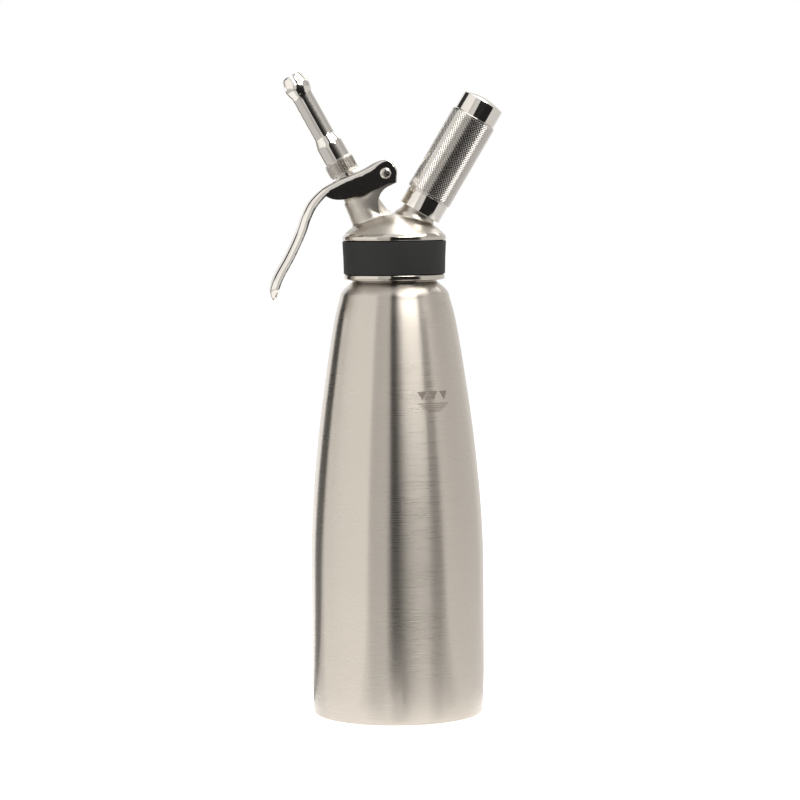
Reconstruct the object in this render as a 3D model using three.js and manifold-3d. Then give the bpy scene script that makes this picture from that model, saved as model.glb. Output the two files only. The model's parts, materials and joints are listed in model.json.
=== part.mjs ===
// Whipped cream dispenser, about one litre: steel bottle, screw-on cast head with a lever valve,
// screw-on decorator tip and a holder for an 8 g gas charger. Millimetres, +Z up.
// The origin is the centre of the bottle's base. The lever points to -X and the charger holder to +X.
import * as THREE from 'three';
import { mergeVertices } from 'three/addons/utils/BufferGeometryUtils.js';
import Module from 'manifold-3d';

const wasm = await Module();
wasm.setup();

// Clearances and cuts
const FIT_GAP = 0.3;
const CUT_OVERRUN = 4;
const DEG = Math.PI / 180;

// Bottle
const BOTTLE_WIDEST_RADIUS = 46.7;
const BOTTLE_FOOT_RADIUS = 45.7;
const BOTTLE_FOOT_ROUND = 2;
const BOTTLE_SHOULDER_RADIUS = 29.5;
const BOTTLE_SHOULDER_HEIGHT = 225.6;
const BOTTLE_SHOULDER_FALL = 2.6;
const BOTTLE_NECK_RADIUS = 22.8;
const BOTTLE_NECK_START = 234;
const BOTTLE_WALL = 1;
const BOTTLE_LIP_THICKNESS = 2;
const BOTTLE_LIP_DEPTH = 3.4;

// Head: screw skirt, dome and gasket seat
const SKIRT_BOTTOM = 234.9;
const SKIRT_BEAD_RADIUS = 27;
const SKIRT_BEAD_HEIGHT = 2.8;
const SKIRT_BORE_RADIUS = 24.6;
const SKIRT_WALL = 1.3;
const SKIRT_EDGE_ROUND = 0.5;
const BAND_HEIGHT = 18.3;
const BAND_TOP_RADIUS = 27.9;
const BAND_BOTTOM_RADIUS = 27.3;
const RIM_RADIUS = 27.87;
const RIM_HEIGHT = 2.3;
const RIM_BEVEL = 1.6;
const DOME_HEIGHT = 10.6;
const GASKET_THICKNESS = 2.4;
const GASKET_SEAT_WIDTH = 5.1;
const CEILING_RISE = 8.5;
const CEILING_LIP = 1.5;

// Dispensing line: it leans to -X and crosses the bottle's axis at this height.
// Heights with the word AT are measured along it from that crossing.
const NOZZLE_LEAN = 28.66 * DEG;
const NOZZLE_CROSSING = 244.56;
const NECK_TOP_AT = 42.9;
const NECK_TOP_RADIUS = 8.7;
const NECK_ROOT_RADIUS = 9.9;
const NECK_BEVEL = 0.9;
const NECK_COLLAR_DEPTH = 3.5;
const NECK_FILLET = 1.3;
const STEM_RADIUS = 4.2;
const STEM_BORE_RADIUS = 2.4;
const VALVE_SEAT_AT = 20;
const VALVE_SEAL_RADIUS = 6.8;
const VALVE_SEAL_THICKNESS = 1.5;
const VALVE_FLANGE_THICKNESS = 2;
const VALVE_PORT_RADIUS = 1.5;
const O_RING_AT = 27;
const O_RING_HEIGHT = 1.6;
const O_RING_GROOVE_DEPTH = 1.1;
const SPRING_SEAT_AT = 31;
const SPRING_POCKET_RADIUS = 6.6;
const SPRING_WIRE_RADIUS = 0.5;
const SPRING_COILS = 5;
const COLLAR_AT = 41.8;
const COLLAR_FLANGE_RADIUS = 6.2;
const COLLAR_FLANGE_THICKNESS = 1.5;
const COLLAR_RADIUS = 5.7;
const ADAPTER_FLANGE_RADIUS = 6.6;
const ADAPTER_FLANGE_THICKNESS = 0.45;
const ADAPTER_THREAD_RADIUS = 6;
const ADAPTER_THREAD_LENGTH = 4.2;
const TIP_RING_RADIUS = 8.17;
const TIP_RING_HEIGHT = 7.8;
const TIP_RING_RIDGES = 44;
const TIP_RING_RIDGE_DEPTH = 0.3;
const TIP_SEAL_THICKNESS = 1.2;
const TIP_LENGTH = 51.8;
const TIP_BASE_RADIUS = 7.3;
const TIP_BASE_HEIGHT = 9;
const TIP_SHAFT_RADIUS = 5.75;
const TIP_TAPER_LENGTH = 6.4;
const TIP_BULB_RADIUS = 7.03;
const TIP_BULB_DROP = 7.3;
const TIP_BULB_LENGTH = 12.6;
const TIP_MOUTH_RADIUS = 4.5;
const TIP_WALL = 0.8;
const TIP_SLOTS = 6;
const TIP_SLOT_WIDTH = 1.8;
const TIP_SLOT_DEPTH = 6;

// Charger line: it leans to +X, with AT measured in the same way
const CHARGER_LEAN = 30.73 * DEG;
const CHARGER_CROSSING = 247.93;
const STUB_RADIUS = 9.3;
const STUB_TOP_AT = 38;
const STUB_FLARE = 2.2;
const HOLDER_AT = 26.8;
const COLLAR_RING_RADIUS = 11.9;
const COLLAR_RING_HEIGHT = 9.4;
const SLEEVE_RADIUS = 12.5;
const SLEEVE_WALL = 1;
const CAP_RADIUS = 11.6;
const CAP_HEIGHT = 10;
const CAP_CROWN = 1.9;
const CAP_SPIGOT_RADIUS = 10.4;
const CAP_SPIGOT_LENGTH = 6.8;
const CHARGER_REACH_INTO_CAP = 7.3;
const CAP_EDGE_ROUND = 0.6;
const CHARGER_RADIUS = 9;
const CHARGER_LENGTH = 65;
const CHARGER_NECK_RADIUS = 4.4;
const CHARGER_NECK_LENGTH = 10.6;
const CHARGER_SHOULDER = 8;
const CHARGER_WALL = 1.4;
const CHARGER_HOLE_RADIUS = 1.4;
const CHARGER_SEAL_THICKNESS = 1.2;
const PIN_RADIUS = 1.1;
const PIN_BORE_RADIUS = 0.45;
const PIN_REACH = 2.6;
const PIN_FLANGE_RADIUS = 2.2;
const BUSH_RADIUS = 3.4;
const BUSH_LENGTH = 5;
const GAS_CHANNEL_RADIUS = 1.8;
const CHECK_SEAT_AT = 16.4;
const CHECK_DISC_RADIUS = 3.2;
const CHECK_DISC_THICKNESS = 1.4;
const CHECK_STALK_LENGTH = 2.6;

// Lever and its pivot
const PIVOT_X = -4.23;
const PIVOT_Z = 291.96;
const LEVER_SHEET = 1.2;
const LEVER_WIDTH = 21;
const LEVER_TIP_WIDTH = 16;
const LEVER_BEND = 2.8;
const LEVER_LIP = 0.7;
const LEVER_REAR_RADIUS = 6.3;
const LEVER_REACH = 63.5;
const LEVER_DROP = 67.8;
const HANDLE_DEPTH = 5.5;
const HANDLE_CROWN = 1.5;
const STEM_SLOT_PLAY = 1.5;
const LEVER_ROCK_ROOM = 0.95;
const PIVOT_BOSS_RADIUS = 4;
const SCREW_RADIUS = 1.5;
const SCREW_HEAD_RADIUS = 2.95;
const SCREW_HEAD_HEIGHT = 1.7;
const SCREW_CROSS_WIDTH = 0.8;
const SCREW_CROSS_DEPTH = 0.9;
const NUT_RADIUS = 3.2;
const NUT_HEIGHT = 4;

// Materials
const satinSteel = new THREE.MeshStandardMaterial({ color: 0xbdb7ae, roughness: 0.38, metalness: 1 });
const castSteel = new THREE.MeshStandardMaterial({ color: 0xb9b4ab, roughness: 0.42, metalness: 1 });
const polishedSteel = new THREE.MeshStandardMaterial({ color: 0xcfcac3, roughness: 0.08, metalness: 1 });
const knurledSteel = new THREE.MeshStandardMaterial({ color: 0xb5b0a8, roughness: 0.35, metalness: 1 });
const blackSilicone = new THREE.MeshStandardMaterial({ color: 0x24231f, roughness: 0.75, metalness: 0 });
const redSilicone = new THREE.MeshStandardMaterial({ color: 0x9c2a22, roughness: 0.6, metalness: 0 });
const springSteel = new THREE.MeshStandardMaterial({ color: 0x9a9894, roughness: 0.3, metalness: 1 });

const model = new THREE.Group();

// A closed mesh whose triangles run inwards is turned the right way out.
function facedOutward(geometry) {
  const position = geometry.getAttribute('position');
  const index = geometry.getIndex().array;
  const corner = [0, 1, 2].map(() => new THREE.Vector3());
  let volume = 0;
  for (let i = 0; i < index.length; i += 3) {
    corner.forEach((vertex, k) => vertex.fromBufferAttribute(position, index[i + k]));
    volume += corner[0].dot(corner[1].clone().cross(corner[2]));
  }
  if (volume < 0) {
    for (let i = 0; i < index.length; i += 3) {
      [index[i + 1], index[i + 2]] = [index[i + 2], index[i + 1]];
    }
  }
  return geometry;
}

// One shell with shared vertices and nothing but positions
function welded(geometry) {
  const bare = geometry.clone();
  bare.deleteAttribute('normal');
  bare.deleteAttribute('uv');
  return facedOutward(mergeVertices(bare));
}

function toSolid(geometry) {
  const shell = welded(geometry);
  const vertProperties = new Float32Array(shell.getAttribute('position').array);
  const triVerts = new Uint32Array(shell.getIndex().array);
  return new wasm.Manifold(new wasm.Mesh({ numProp: 3, vertProperties, triVerts }));
}

function toGeometry(solid) {
  const mesh = solid.getMesh();
  const geometry = new THREE.BufferGeometry();
  geometry.setAttribute('position', new THREE.BufferAttribute(mesh.vertProperties, 3));
  geometry.setIndex(new THREE.BufferAttribute(mesh.triVerts, 1));
  return geometry;
}

function joined(...geometries) {
  return toGeometry(geometries.map(toSolid).reduce((sum, solid) => sum.add(solid)));
}

function cut(geometry, ...tools) {
  return toGeometry(tools.map(toSolid).reduce((rest, tool) => rest.subtract(tool), toSolid(geometry)));
}

// A turned piece about +Z. The profile of [radius, height] points starts and ends on the axis,
// or closes on itself when it holds no point there.
function turned(profile, sides = 40) {
  const points = profile.map(([radius, height]) => new THREE.Vector2(radius, height));
  const onAxis = profile[0][0] === 0 && profile.at(-1)[0] === 0;
  if (!onAxis) points.push(points[0].clone());
  return welded(new THREE.LatheGeometry(points, sides).rotateX(Math.PI / 2));
}

function tube(inner, outer, low, high, sides) {
  return turned([[inner, low], [outer, low], [outer, high], [inner, high]], sides);
}

function rod(radius, low, high, sides) {
  return turned([[0, low], [radius, low], [radius, high], [0, high]], sides);
}

// Points on a round corner from one angle to another
function arc(centreX, centreY, radius, from, to, steps) {
  return Array.from({ length: steps + 1 }, (_, i) => {
    const angle = from + (to - from) * i / steps;
    return [centreX + radius * Math.cos(angle), centreY + radius * Math.sin(angle)];
  });
}

// A flat outline of [x, z] points, extruded along Y to the given half width on both sides
function plateAlongY(outline, halfWidth) {
  const shape = new THREE.Shape(outline.map(([x, z]) => new THREE.Vector2(x, z)));
  const slab = new THREE.ExtrudeGeometry(shape, { depth: 2 * halfWidth, bevelEnabled: false });
  return slab.rotateX(Math.PI / 2).translate(0, halfWidth, 0);
}

// The two leaning lines. Everything on them is modelled upright and then leaned.
const nozzleLine = new THREE.Group();
nozzleLine.position.set(0, 0, NOZZLE_CROSSING);
nozzleLine.rotation.y = -NOZZLE_LEAN;
const chargerLine = new THREE.Group();
chargerLine.position.set(0, 0, CHARGER_CROSSING);
chargerLine.rotation.y = CHARGER_LEAN;
model.add(nozzleLine, chargerLine);
nozzleLine.updateMatrix();
chargerLine.updateMatrix();
const onNozzle = (geometry) => geometry.applyMatrix4(nozzleLine.matrix);
const onCharger = (geometry) => geometry.applyMatrix4(chargerLine.matrix);

function place(name, geometry, material, line = model) {
  const mesh = new THREE.Mesh(geometry, material);
  mesh.name = name;
  line.add(mesh);
  return mesh;
}

// Bottle: one drawn wall of even thickness, with a lip rolled inwards at the mouth.
// Its side is a curve through shares of the widest radius and of the height up to the shoulder.
const SIDE_RADIUS_SHARES = [0.987, 0.996, 0.998, 1, 0.995, 0.971, 0.93, 0.878, 0.813, 0.742, 0.688];
const SIDE_HEIGHT_SHARES = [0.04, 0.1, 0.2, 0.337, 0.416, 0.512, 0.609, 0.705, 0.801, 0.897, 0.957];
const SHOULDER_TURN_SHARES = [0, 0.2, 0.4, 0.6, 0.8, 1];
const MOUTH_TOP = SKIRT_BOTTOM + SKIRT_BEAD_HEIGHT + BAND_HEIGHT
  - SKIRT_WALL - GASKET_THICKNESS - 2 * FIT_GAP;

function bottleSide(inset) {
  const radiusScale = BOTTLE_WIDEST_RADIUS;
  const heightScale = BOTTLE_SHOULDER_HEIGHT;
  const points = SIDE_RADIUS_SHARES.map((share, i) => [
    share * radiusScale - inset, SIDE_HEIGHT_SHARES[i] * heightScale]);
  const shoulderRun = BOTTLE_NECK_START - BOTTLE_SHOULDER_HEIGHT;
  const shoulderDrop = BOTTLE_SHOULDER_RADIUS - BOTTLE_NECK_RADIUS;
  for (const turn of SHOULDER_TURN_SHARES) {
    const angle = turn * Math.PI / 2;
    points.push([
      BOTTLE_NECK_RADIUS + shoulderDrop * Math.cos(angle) ** BOTTLE_SHOULDER_FALL - inset,
      BOTTLE_SHOULDER_HEIGHT + shoulderRun * Math.sin(angle) - inset * Math.sin(angle)]);
  }
  return points;
}

function makeBottle() {
  const footArc = arc(BOTTLE_FOOT_RADIUS - BOTTLE_FOOT_ROUND, BOTTLE_FOOT_ROUND, BOTTLE_FOOT_ROUND,
    -Math.PI / 2, 0, 3);
  const innerFoot = footArc.map(([radius, height]) => [radius - BOTTLE_WALL, height + BOTTLE_WALL]);
  const lipBottom = MOUTH_TOP - BOTTLE_LIP_DEPTH;
  const lipRound = BOTTLE_LIP_THICKNESS / 4;
  return turned([
    [0, 0], ...footArc, ...bottleSide(0),
    [BOTTLE_NECK_RADIUS, MOUTH_TOP - lipRound], [BOTTLE_NECK_RADIUS - lipRound, MOUTH_TOP],
    [BOTTLE_NECK_RADIUS - BOTTLE_LIP_THICKNESS + lipRound, MOUTH_TOP],
    [BOTTLE_NECK_RADIUS - BOTTLE_LIP_THICKNESS, MOUTH_TOP - lipRound],
    [BOTTLE_NECK_RADIUS - BOTTLE_LIP_THICKNESS, lipBottom],
    [BOTTLE_NECK_RADIUS - BOTTLE_WALL, lipBottom - BOTTLE_WALL],
    ...bottleSide(BOTTLE_WALL).filter((_, i) => i % 2 === 0).reverse(),
    ...innerFoot.reverse(), [0, BOTTLE_WALL],
  ], 40);
}
place('bottle', makeBottle(), satinSteel);

const SEAT_HEIGHT = MOUTH_TOP + GASKET_THICKNESS + 2 * FIT_GAP;
const GASKET_OUTER = SKIRT_BORE_RADIUS - FIT_GAP;
const GASKET_INNER = SKIRT_BORE_RADIUS - GASKET_SEAT_WIDTH + FIT_GAP;
place('head_gasket', tube(GASKET_INNER, GASKET_OUTER, MOUTH_TOP + FIT_GAP, SEAT_HEIGHT - FIT_GAP, 32),
  redSilicone);

// Head casting: dome and skirt turned as one, with the leaning neck, the stub and the lug joined on,
// and every bore cut afterwards.
const BAND_BOTTOM = SKIRT_BOTTOM + SKIRT_BEAD_HEIGHT;
const BAND_TOP = BAND_BOTTOM + BAND_HEIGHT;
const GROOVE_RADIUS = SKIRT_BORE_RADIUS + SKIRT_WALL;
const RIM_TOP = BAND_TOP + RIM_HEIGHT;

// A shallow dome from its edge to the axis, as points of one arc
function crownArc(edgeRadius, edgeHeight, rise, steps) {
  const sphere = (edgeRadius ** 2 + rise ** 2) / (2 * rise);
  const centre = edgeHeight + rise - sphere;
  const start = Math.asin((edgeHeight - centre) / sphere);
  return arc(0, centre, sphere, start, Math.PI / 2, steps).slice(0, -1).concat([[0, edgeHeight + rise]]);
}

function headShell() {
  const domeEdge = RIM_RADIUS - RIM_BEVEL;
  const ceilingRadius = SKIRT_BORE_RADIUS - GASKET_SEAT_WIDTH;
  return turned([
    ...crownArc(ceilingRadius - CEILING_LIP / 2, SEAT_HEIGHT + CEILING_LIP, CEILING_RISE, 4).reverse(),
    [ceilingRadius, SEAT_HEIGHT], [SKIRT_BORE_RADIUS, SEAT_HEIGHT], [SKIRT_BORE_RADIUS, SKIRT_BOTTOM],
    [SKIRT_BEAD_RADIUS - SKIRT_EDGE_ROUND, SKIRT_BOTTOM],
    [SKIRT_BEAD_RADIUS, SKIRT_BOTTOM + SKIRT_EDGE_ROUND],
    [SKIRT_BEAD_RADIUS, BAND_BOTTOM], [GROOVE_RADIUS, BAND_BOTTOM], [GROOVE_RADIUS, BAND_TOP],
    [RIM_RADIUS - SKIRT_EDGE_ROUND / 2, BAND_TOP], [RIM_RADIUS, BAND_TOP + SKIRT_EDGE_ROUND / 2],
    [RIM_RADIUS, RIM_TOP - SKIRT_EDGE_ROUND],
    ...crownArc(domeEdge, RIM_TOP + RIM_BEVEL, DOME_HEIGHT, 7),
  ], 40);
}

// The neck's outline: shares of its fillet and height below, and of its taper and height above
const NECK_FILLET_SHARES = [[1, 0.18], [0.3, 0.28], [0, 0.4]];
const NECK_TAPER_SHARES = [[0.6, 0.7]];

function neckOutside() {
  const foot = VALVE_SEAT_AT;
  const bevelStart = NECK_TOP_AT - NECK_COLLAR_DEPTH;
  const length = bevelStart - foot;
  const rootStep = NECK_ROOT_RADIUS - NECK_TOP_RADIUS;
  return onNozzle(turned([
    [0, foot], [NECK_ROOT_RADIUS + NECK_FILLET, foot],
    ...NECK_FILLET_SHARES.map(([out, up]) => [NECK_ROOT_RADIUS + NECK_FILLET * out, foot + length * up]),
    ...NECK_TAPER_SHARES.map(([out, up]) => [NECK_TOP_RADIUS + rootStep * out, foot + length * up]),
    [NECK_TOP_RADIUS, bevelStart],
    [NECK_TOP_RADIUS - NECK_BEVEL, bevelStart + NECK_BEVEL], [NECK_TOP_RADIUS - NECK_BEVEL, NECK_TOP_AT],
    [0, NECK_TOP_AT]], 28));
}

const STUB_FLARE_SHARE = 0.35;

function stubOutside() {
  const foot = CHECK_SEAT_AT + CHECK_DISC_THICKNESS;
  const flareTop = HOLDER_AT;
  const flareFoot = HOLDER_AT - 2 * STUB_FLARE;
  return onCharger(turned([
    [0, foot], [STUB_RADIUS + STUB_FLARE, foot], [STUB_RADIUS + STUB_FLARE, flareFoot - STUB_FLARE / 2],
    [STUB_RADIUS + STUB_FLARE * STUB_FLARE_SHARE, flareFoot + STUB_FLARE / 2],
    [STUB_RADIUS, flareTop - STUB_FLARE / 2],
    [STUB_RADIUS, STUB_TOP_AT - SKIRT_EDGE_ROUND], [STUB_RADIUS - SKIRT_EDGE_ROUND, STUB_TOP_AT],
    [0, STUB_TOP_AT]], 28));
}

// The lug stands behind the neck, as wide as it, and leaves a round gap towards the charger stub.
const LUG_HALF_WIDTH = LEVER_WIDTH / 2 - LEVER_SHEET - FIT_GAP;
const LUG_GAP_RADIUS = 9.4;
const LUG_GAP_X = 1.2;
const LUG_GAP_Z = 276.4;
const LUG_HEEL = 5.6;
const LUG_HEEL_DROP = 3.2;
const LUG_HEEL_HEIGHT = 1.9;
const LUG_BACK_DROP = 22;
const LUG_FOOT_DROP = 27;
const LUG_GAP_START = 115 * DEG;
const LUG_GAP_END = 255 * DEG;
const LUG_BOSS_START = 155 * DEG;
const LUG_BOSS_END = -38 * DEG;

function lugOutside() {
  const gap = arc(LUG_GAP_X, LUG_GAP_Z, LUG_GAP_RADIUS, LUG_GAP_START, LUG_GAP_END, 10);
  return plateAlongY([
    ...arc(PIVOT_X, PIVOT_Z, PIVOT_BOSS_RADIUS, LUG_BOSS_START, LUG_BOSS_END, 8),
    [PIVOT_X + LUG_HEEL, PIVOT_Z - LUG_HEEL_DROP],
    [PIVOT_X + LUG_HEEL, PIVOT_Z - LUG_HEEL_DROP - LUG_HEEL_HEIGHT],
    ...gap,
    [PIVOT_X, PIVOT_Z - LUG_FOOT_DROP], [PIVOT_X - LUG_BACK_DROP / 2, PIVOT_Z - LUG_FOOT_DROP],
    [PIVOT_X - LUG_BACK_DROP / 2, PIVOT_Z - LUG_BACK_DROP / 2],
    [PIVOT_X - LUG_HEEL, PIVOT_Z - LUG_HEEL_DROP],
  ], LUG_HALF_WIDTH);
}

// Stations inside the stub, counted from the charger's neck downwards
const CHARGER_AT = HOLDER_AT + SKIRT_EDGE_ROUND * 2;
const CHARGER_SEAL_TOP = CHARGER_AT - FIT_GAP;
const BUSH_TOP = CHARGER_SEAL_TOP - CHARGER_SEAL_THICKNESS - FIT_GAP;
const BUSH_BOTTOM = BUSH_TOP - BUSH_LENGTH;
const SOCKET_RADIUS = CHARGER_NECK_RADIUS + FIT_GAP + FIT_GAP / 2;

function makeHead() {
  const body = joined(headShell(), neckOutside(), stubOutside(), lugOutside());
  const ceiling = VALVE_SEAT_AT - CUT_OVERRUN;
  const stemBore = onNozzle(rod(STEM_RADIUS + FIT_GAP, ceiling, NECK_TOP_AT + CUT_OVERRUN, 24));
  const springPocket = onNozzle(rod(SPRING_POCKET_RADIUS, SPRING_SEAT_AT, NECK_TOP_AT + CUT_OVERRUN, 24));
  const valveSeat = onNozzle(rod(VALVE_SEAL_RADIUS + 2 * FIT_GAP, ceiling, VALVE_SEAT_AT, 24));
  const chargerSocket = onCharger(rod(SOCKET_RADIUS, BUSH_TOP, STUB_TOP_AT + CUT_OVERRUN, 24));
  const bushHole = onCharger(rod(BUSH_RADIUS + FIT_GAP, BUSH_BOTTOM - FIT_GAP, BUSH_TOP + FIT_GAP, 16));
  const gasChannel = onCharger(rod(GAS_CHANNEL_RADIUS, CHECK_SEAT_AT - CUT_OVERRUN, BUSH_BOTTOM, 14));
  const checkSeat = onCharger(
    rod(CHECK_DISC_RADIUS + FIT_GAP, CHECK_SEAT_AT - CUT_OVERRUN, CHECK_SEAT_AT, 16));
  const pivotHole = rod(SCREW_RADIUS + FIT_GAP, -LEVER_WIDTH, LEVER_WIDTH, 16)
    .rotateX(Math.PI / 2).translate(PIVOT_X, 0, PIVOT_Z);
  return cut(
    body, stemBore, springPocket, valveSeat, chargerSocket, bushHole, gasChannel, checkSeat, pivotHole);
}
place('head', makeHead(), castSteel);

const bandInner = GROOVE_RADIUS + FIT_GAP;
const bandLow = BAND_BOTTOM + FIT_GAP;
const bandHigh = BAND_TOP - FIT_GAP;
place('grip_band', turned([
  [bandInner, bandLow], [BAND_BOTTOM_RADIUS - SKIRT_EDGE_ROUND, bandLow],
  [BAND_BOTTOM_RADIUS, bandLow + SKIRT_EDGE_ROUND], [BAND_TOP_RADIUS, bandHigh - SKIRT_EDGE_ROUND],
  [BAND_TOP_RADIUS - SKIRT_EDGE_ROUND, bandHigh], [bandInner, bandHigh]], 40), blackSilicone);

// Lever's back, seen from the side.
// The shares are of the lever's reach and drop, counted from the pivot.
const BACK_X_SHARES = [
  -0.083, -0.211, -0.436, -0.553, -0.657, -0.722, -0.766, -0.862, -0.958, -1.004, -0.968];
const BACK_Z_SHARES = [
  0.089, 0.027, -0.061, -0.121, -0.213, -0.33, -0.445, -0.635, -0.795, -0.915, -1];
const CHEEK_X_SHARES = [
  0.044, 0.008, -0.049, -0.113, -0.178, -0.252, -0.324, -0.38, -0.435, -0.475, -0.505];
const CHEEK_Z_SHARES = [
  -0.065, -0.078, -0.108, -0.137, -0.161, -0.183, -0.199, -0.206, -0.203, -0.191, -0.176];
const LEVER_STATIONS = 28;
const LEVER_HALF_WIDTH = LEVER_WIDTH / 2;
const CHEEK_END_SHARE = 0.41;
const REAR_START = -24 * DEG;
const REAR_END = 50 * DEG;
const REAR_TOP_START = 68 * DEG;
const REAR_TOP_END = 100 * DEG;
const REAR_TOP_RADIUS_SHARE = 1.03;

const backCurve = new THREE.CatmullRomCurve3([
  ...arc(0, 0, LEVER_REAR_RADIUS, REAR_START, REAR_END, 3),
  ...arc(0, LEVER_BEND / 4, LEVER_REAR_RADIUS * REAR_TOP_RADIUS_SHARE, REAR_TOP_START, REAR_TOP_END, 1),
  ...BACK_X_SHARES.map((share, i) => [share * LEVER_REACH, BACK_Z_SHARES[i] * LEVER_DROP]),
].map(([x, z]) => new THREE.Vector3(x + PIVOT_X, 0, z + PIVOT_Z)), false, 'centripetal');

// Where the lever's back crosses the dispensing line, found by halving between its rear and its bend
function crossingOfBack() {
  const lineAcross = new THREE.Vector3(Math.cos(NOZZLE_LEAN), 0, Math.sin(NOZZLE_LEAN));
  const lineAlong = new THREE.Vector3(-Math.sin(NOZZLE_LEAN), 0, Math.cos(NOZZLE_LEAN));
  const fromLine = (share) => backCurve.getPointAt(share).sub(nozzleLine.position);
  let near = 0;
  let far = CHEEK_END_SHARE;
  for (let halving = 0; halving < 40; halving += 1) {
    const middle = (near + far) / 2;
    if (fromLine(middle).dot(lineAcross) > 0) near = middle;
    else far = middle;
  }
  return fromLine(near).dot(lineAlong);
}
const LEVER_PLATE_AT = crossingOfBack();

// Dispensing valve: a hollow piston whose ports open into the bottle when the lever presses it down.
const SEAL_BOTTOM = VALVE_SEAT_AT - FIT_GAP - VALVE_SEAL_THICKNESS;
const FLANGE_TOP = SEAL_BOTTOM - FIT_GAP;
const FLANGE_BOTTOM = FLANGE_TOP - VALVE_FLANGE_THICKNESS;
const PORT_AT = VALVE_SEAT_AT + VALVE_PORT_RADIUS + FIT_GAP;
const GROOVE_FLOOR = STEM_RADIUS - O_RING_GROOVE_DEPTH;
const ADAPTER_FLANGE_AT = LEVER_PLATE_AT + LEVER_ROCK_ROOM;
const ADAPTER_AT = ADAPTER_FLANGE_AT + ADAPTER_FLANGE_THICKNESS;
const ADAPTER_TOP = ADAPTER_AT + ADAPTER_THREAD_LENGTH;
const TIP_RING_AT = ADAPTER_AT + FIT_GAP;

function makeStem() {
  const noseRound = VALVE_FLANGE_THICKNESS / 2;
  const stem = turned([
    [0, FLANGE_BOTTOM - noseRound], [STEM_RADIUS, FLANGE_BOTTOM - noseRound],
    [VALVE_SEAL_RADIUS, FLANGE_BOTTOM + noseRound / 2], [VALVE_SEAL_RADIUS, FLANGE_TOP],
    [STEM_RADIUS, FLANGE_TOP], [STEM_RADIUS, O_RING_AT], [GROOVE_FLOOR, O_RING_AT],
    [GROOVE_FLOOR, O_RING_AT + O_RING_HEIGHT], [STEM_RADIUS, O_RING_AT + O_RING_HEIGHT],
    [STEM_RADIUS, ADAPTER_TOP], [STEM_BORE_RADIUS, ADAPTER_TOP],
    [STEM_BORE_RADIUS, PORT_AT - VALVE_PORT_RADIUS], [0, PORT_AT - VALVE_PORT_RADIUS]], 20);
  const port = rod(VALVE_PORT_RADIUS, -2 * STEM_RADIUS, 2 * STEM_RADIUS, 10);
  const portAlongX = port.clone().rotateY(Math.PI / 2).translate(0, 0, PORT_AT);
  const portAlongY = port.clone().rotateX(Math.PI / 2).translate(0, 0, PORT_AT);
  return cut(stem, portAlongX, portAlongY);
}
place('valve_stem', makeStem(), polishedSteel, nozzleLine);
place('valve_seal', tube(STEM_RADIUS + FIT_GAP, VALVE_SEAL_RADIUS, SEAL_BOTTOM, VALVE_SEAT_AT - FIT_GAP, 24),
  blackSilicone, nozzleLine);

function makeStemRing() {
  const centreRadius = (GROOVE_FLOOR + STEM_RADIUS + FIT_GAP + FIT_GAP / 2) / 2;
  const section = centreRadius - GROOVE_FLOOR - FIT_GAP;
  const middle = O_RING_AT + O_RING_HEIGHT / 2;
  return turned(arc(centreRadius, middle, section, 0, 2 * Math.PI, 6).slice(0, -1), 20);
}
place('stem_o_ring', makeStemRing(), blackSilicone, nozzleLine);

// Coil spring: one unbroken round wire, as wide as the space between the piston and the pocket allows
function makeSpring() {
  const radius = (SPRING_POCKET_RADIUS + STEM_RADIUS) / 2;
  const low = SPRING_SEAT_AT + FIT_GAP + SPRING_WIRE_RADIUS;
  const high = COLLAR_AT - FIT_GAP - SPRING_WIRE_RADIUS;
  const stepsPerTurn = 8;
  const wireSides = 5;
  const steps = SPRING_COILS * stepsPerTurn;
  const centres = Array.from({ length: steps + 1 }, (_, i) => {
    const angle = 2 * Math.PI * i / stepsPerTurn;
    return new THREE.Vector3(
      radius * Math.cos(angle), radius * Math.sin(angle), low + (high - low) * i / steps);
  });
  let leastGap = Infinity;
  centres.forEach((a, i) => centres.slice(i + stepsPerTurn - 2).forEach((b) => {
    leastGap = Math.min(leastGap, a.distanceTo(b) - 2 * SPRING_WIRE_RADIUS);
  }));
  console.log(`valve spring: least gap between turns ${leastGap.toFixed(2)} mm`);
  const positions = [];
  centres.forEach((centre, i) => {
    const before = centres[Math.max(i - 1, 0)];
    const after = centres[Math.min(i + 1, steps)];
    const along = after.clone().sub(before).normalize();
    const out = new THREE.Vector3(centre.x, centre.y, 0).normalize();
    const up = new THREE.Vector3().crossVectors(along, out).normalize();
    for (let k = 0; k < wireSides; k += 1) {
      const angle = 2 * Math.PI * k / wireSides;
      const point = centre.clone()
        .addScaledVector(out, SPRING_WIRE_RADIUS * Math.cos(angle))
        .addScaledVector(up, SPRING_WIRE_RADIUS * Math.sin(angle));
      positions.push(point.x, point.y, point.z);
    }
  });
  return loft(positions, steps + 1, wireSides);
}

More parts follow.
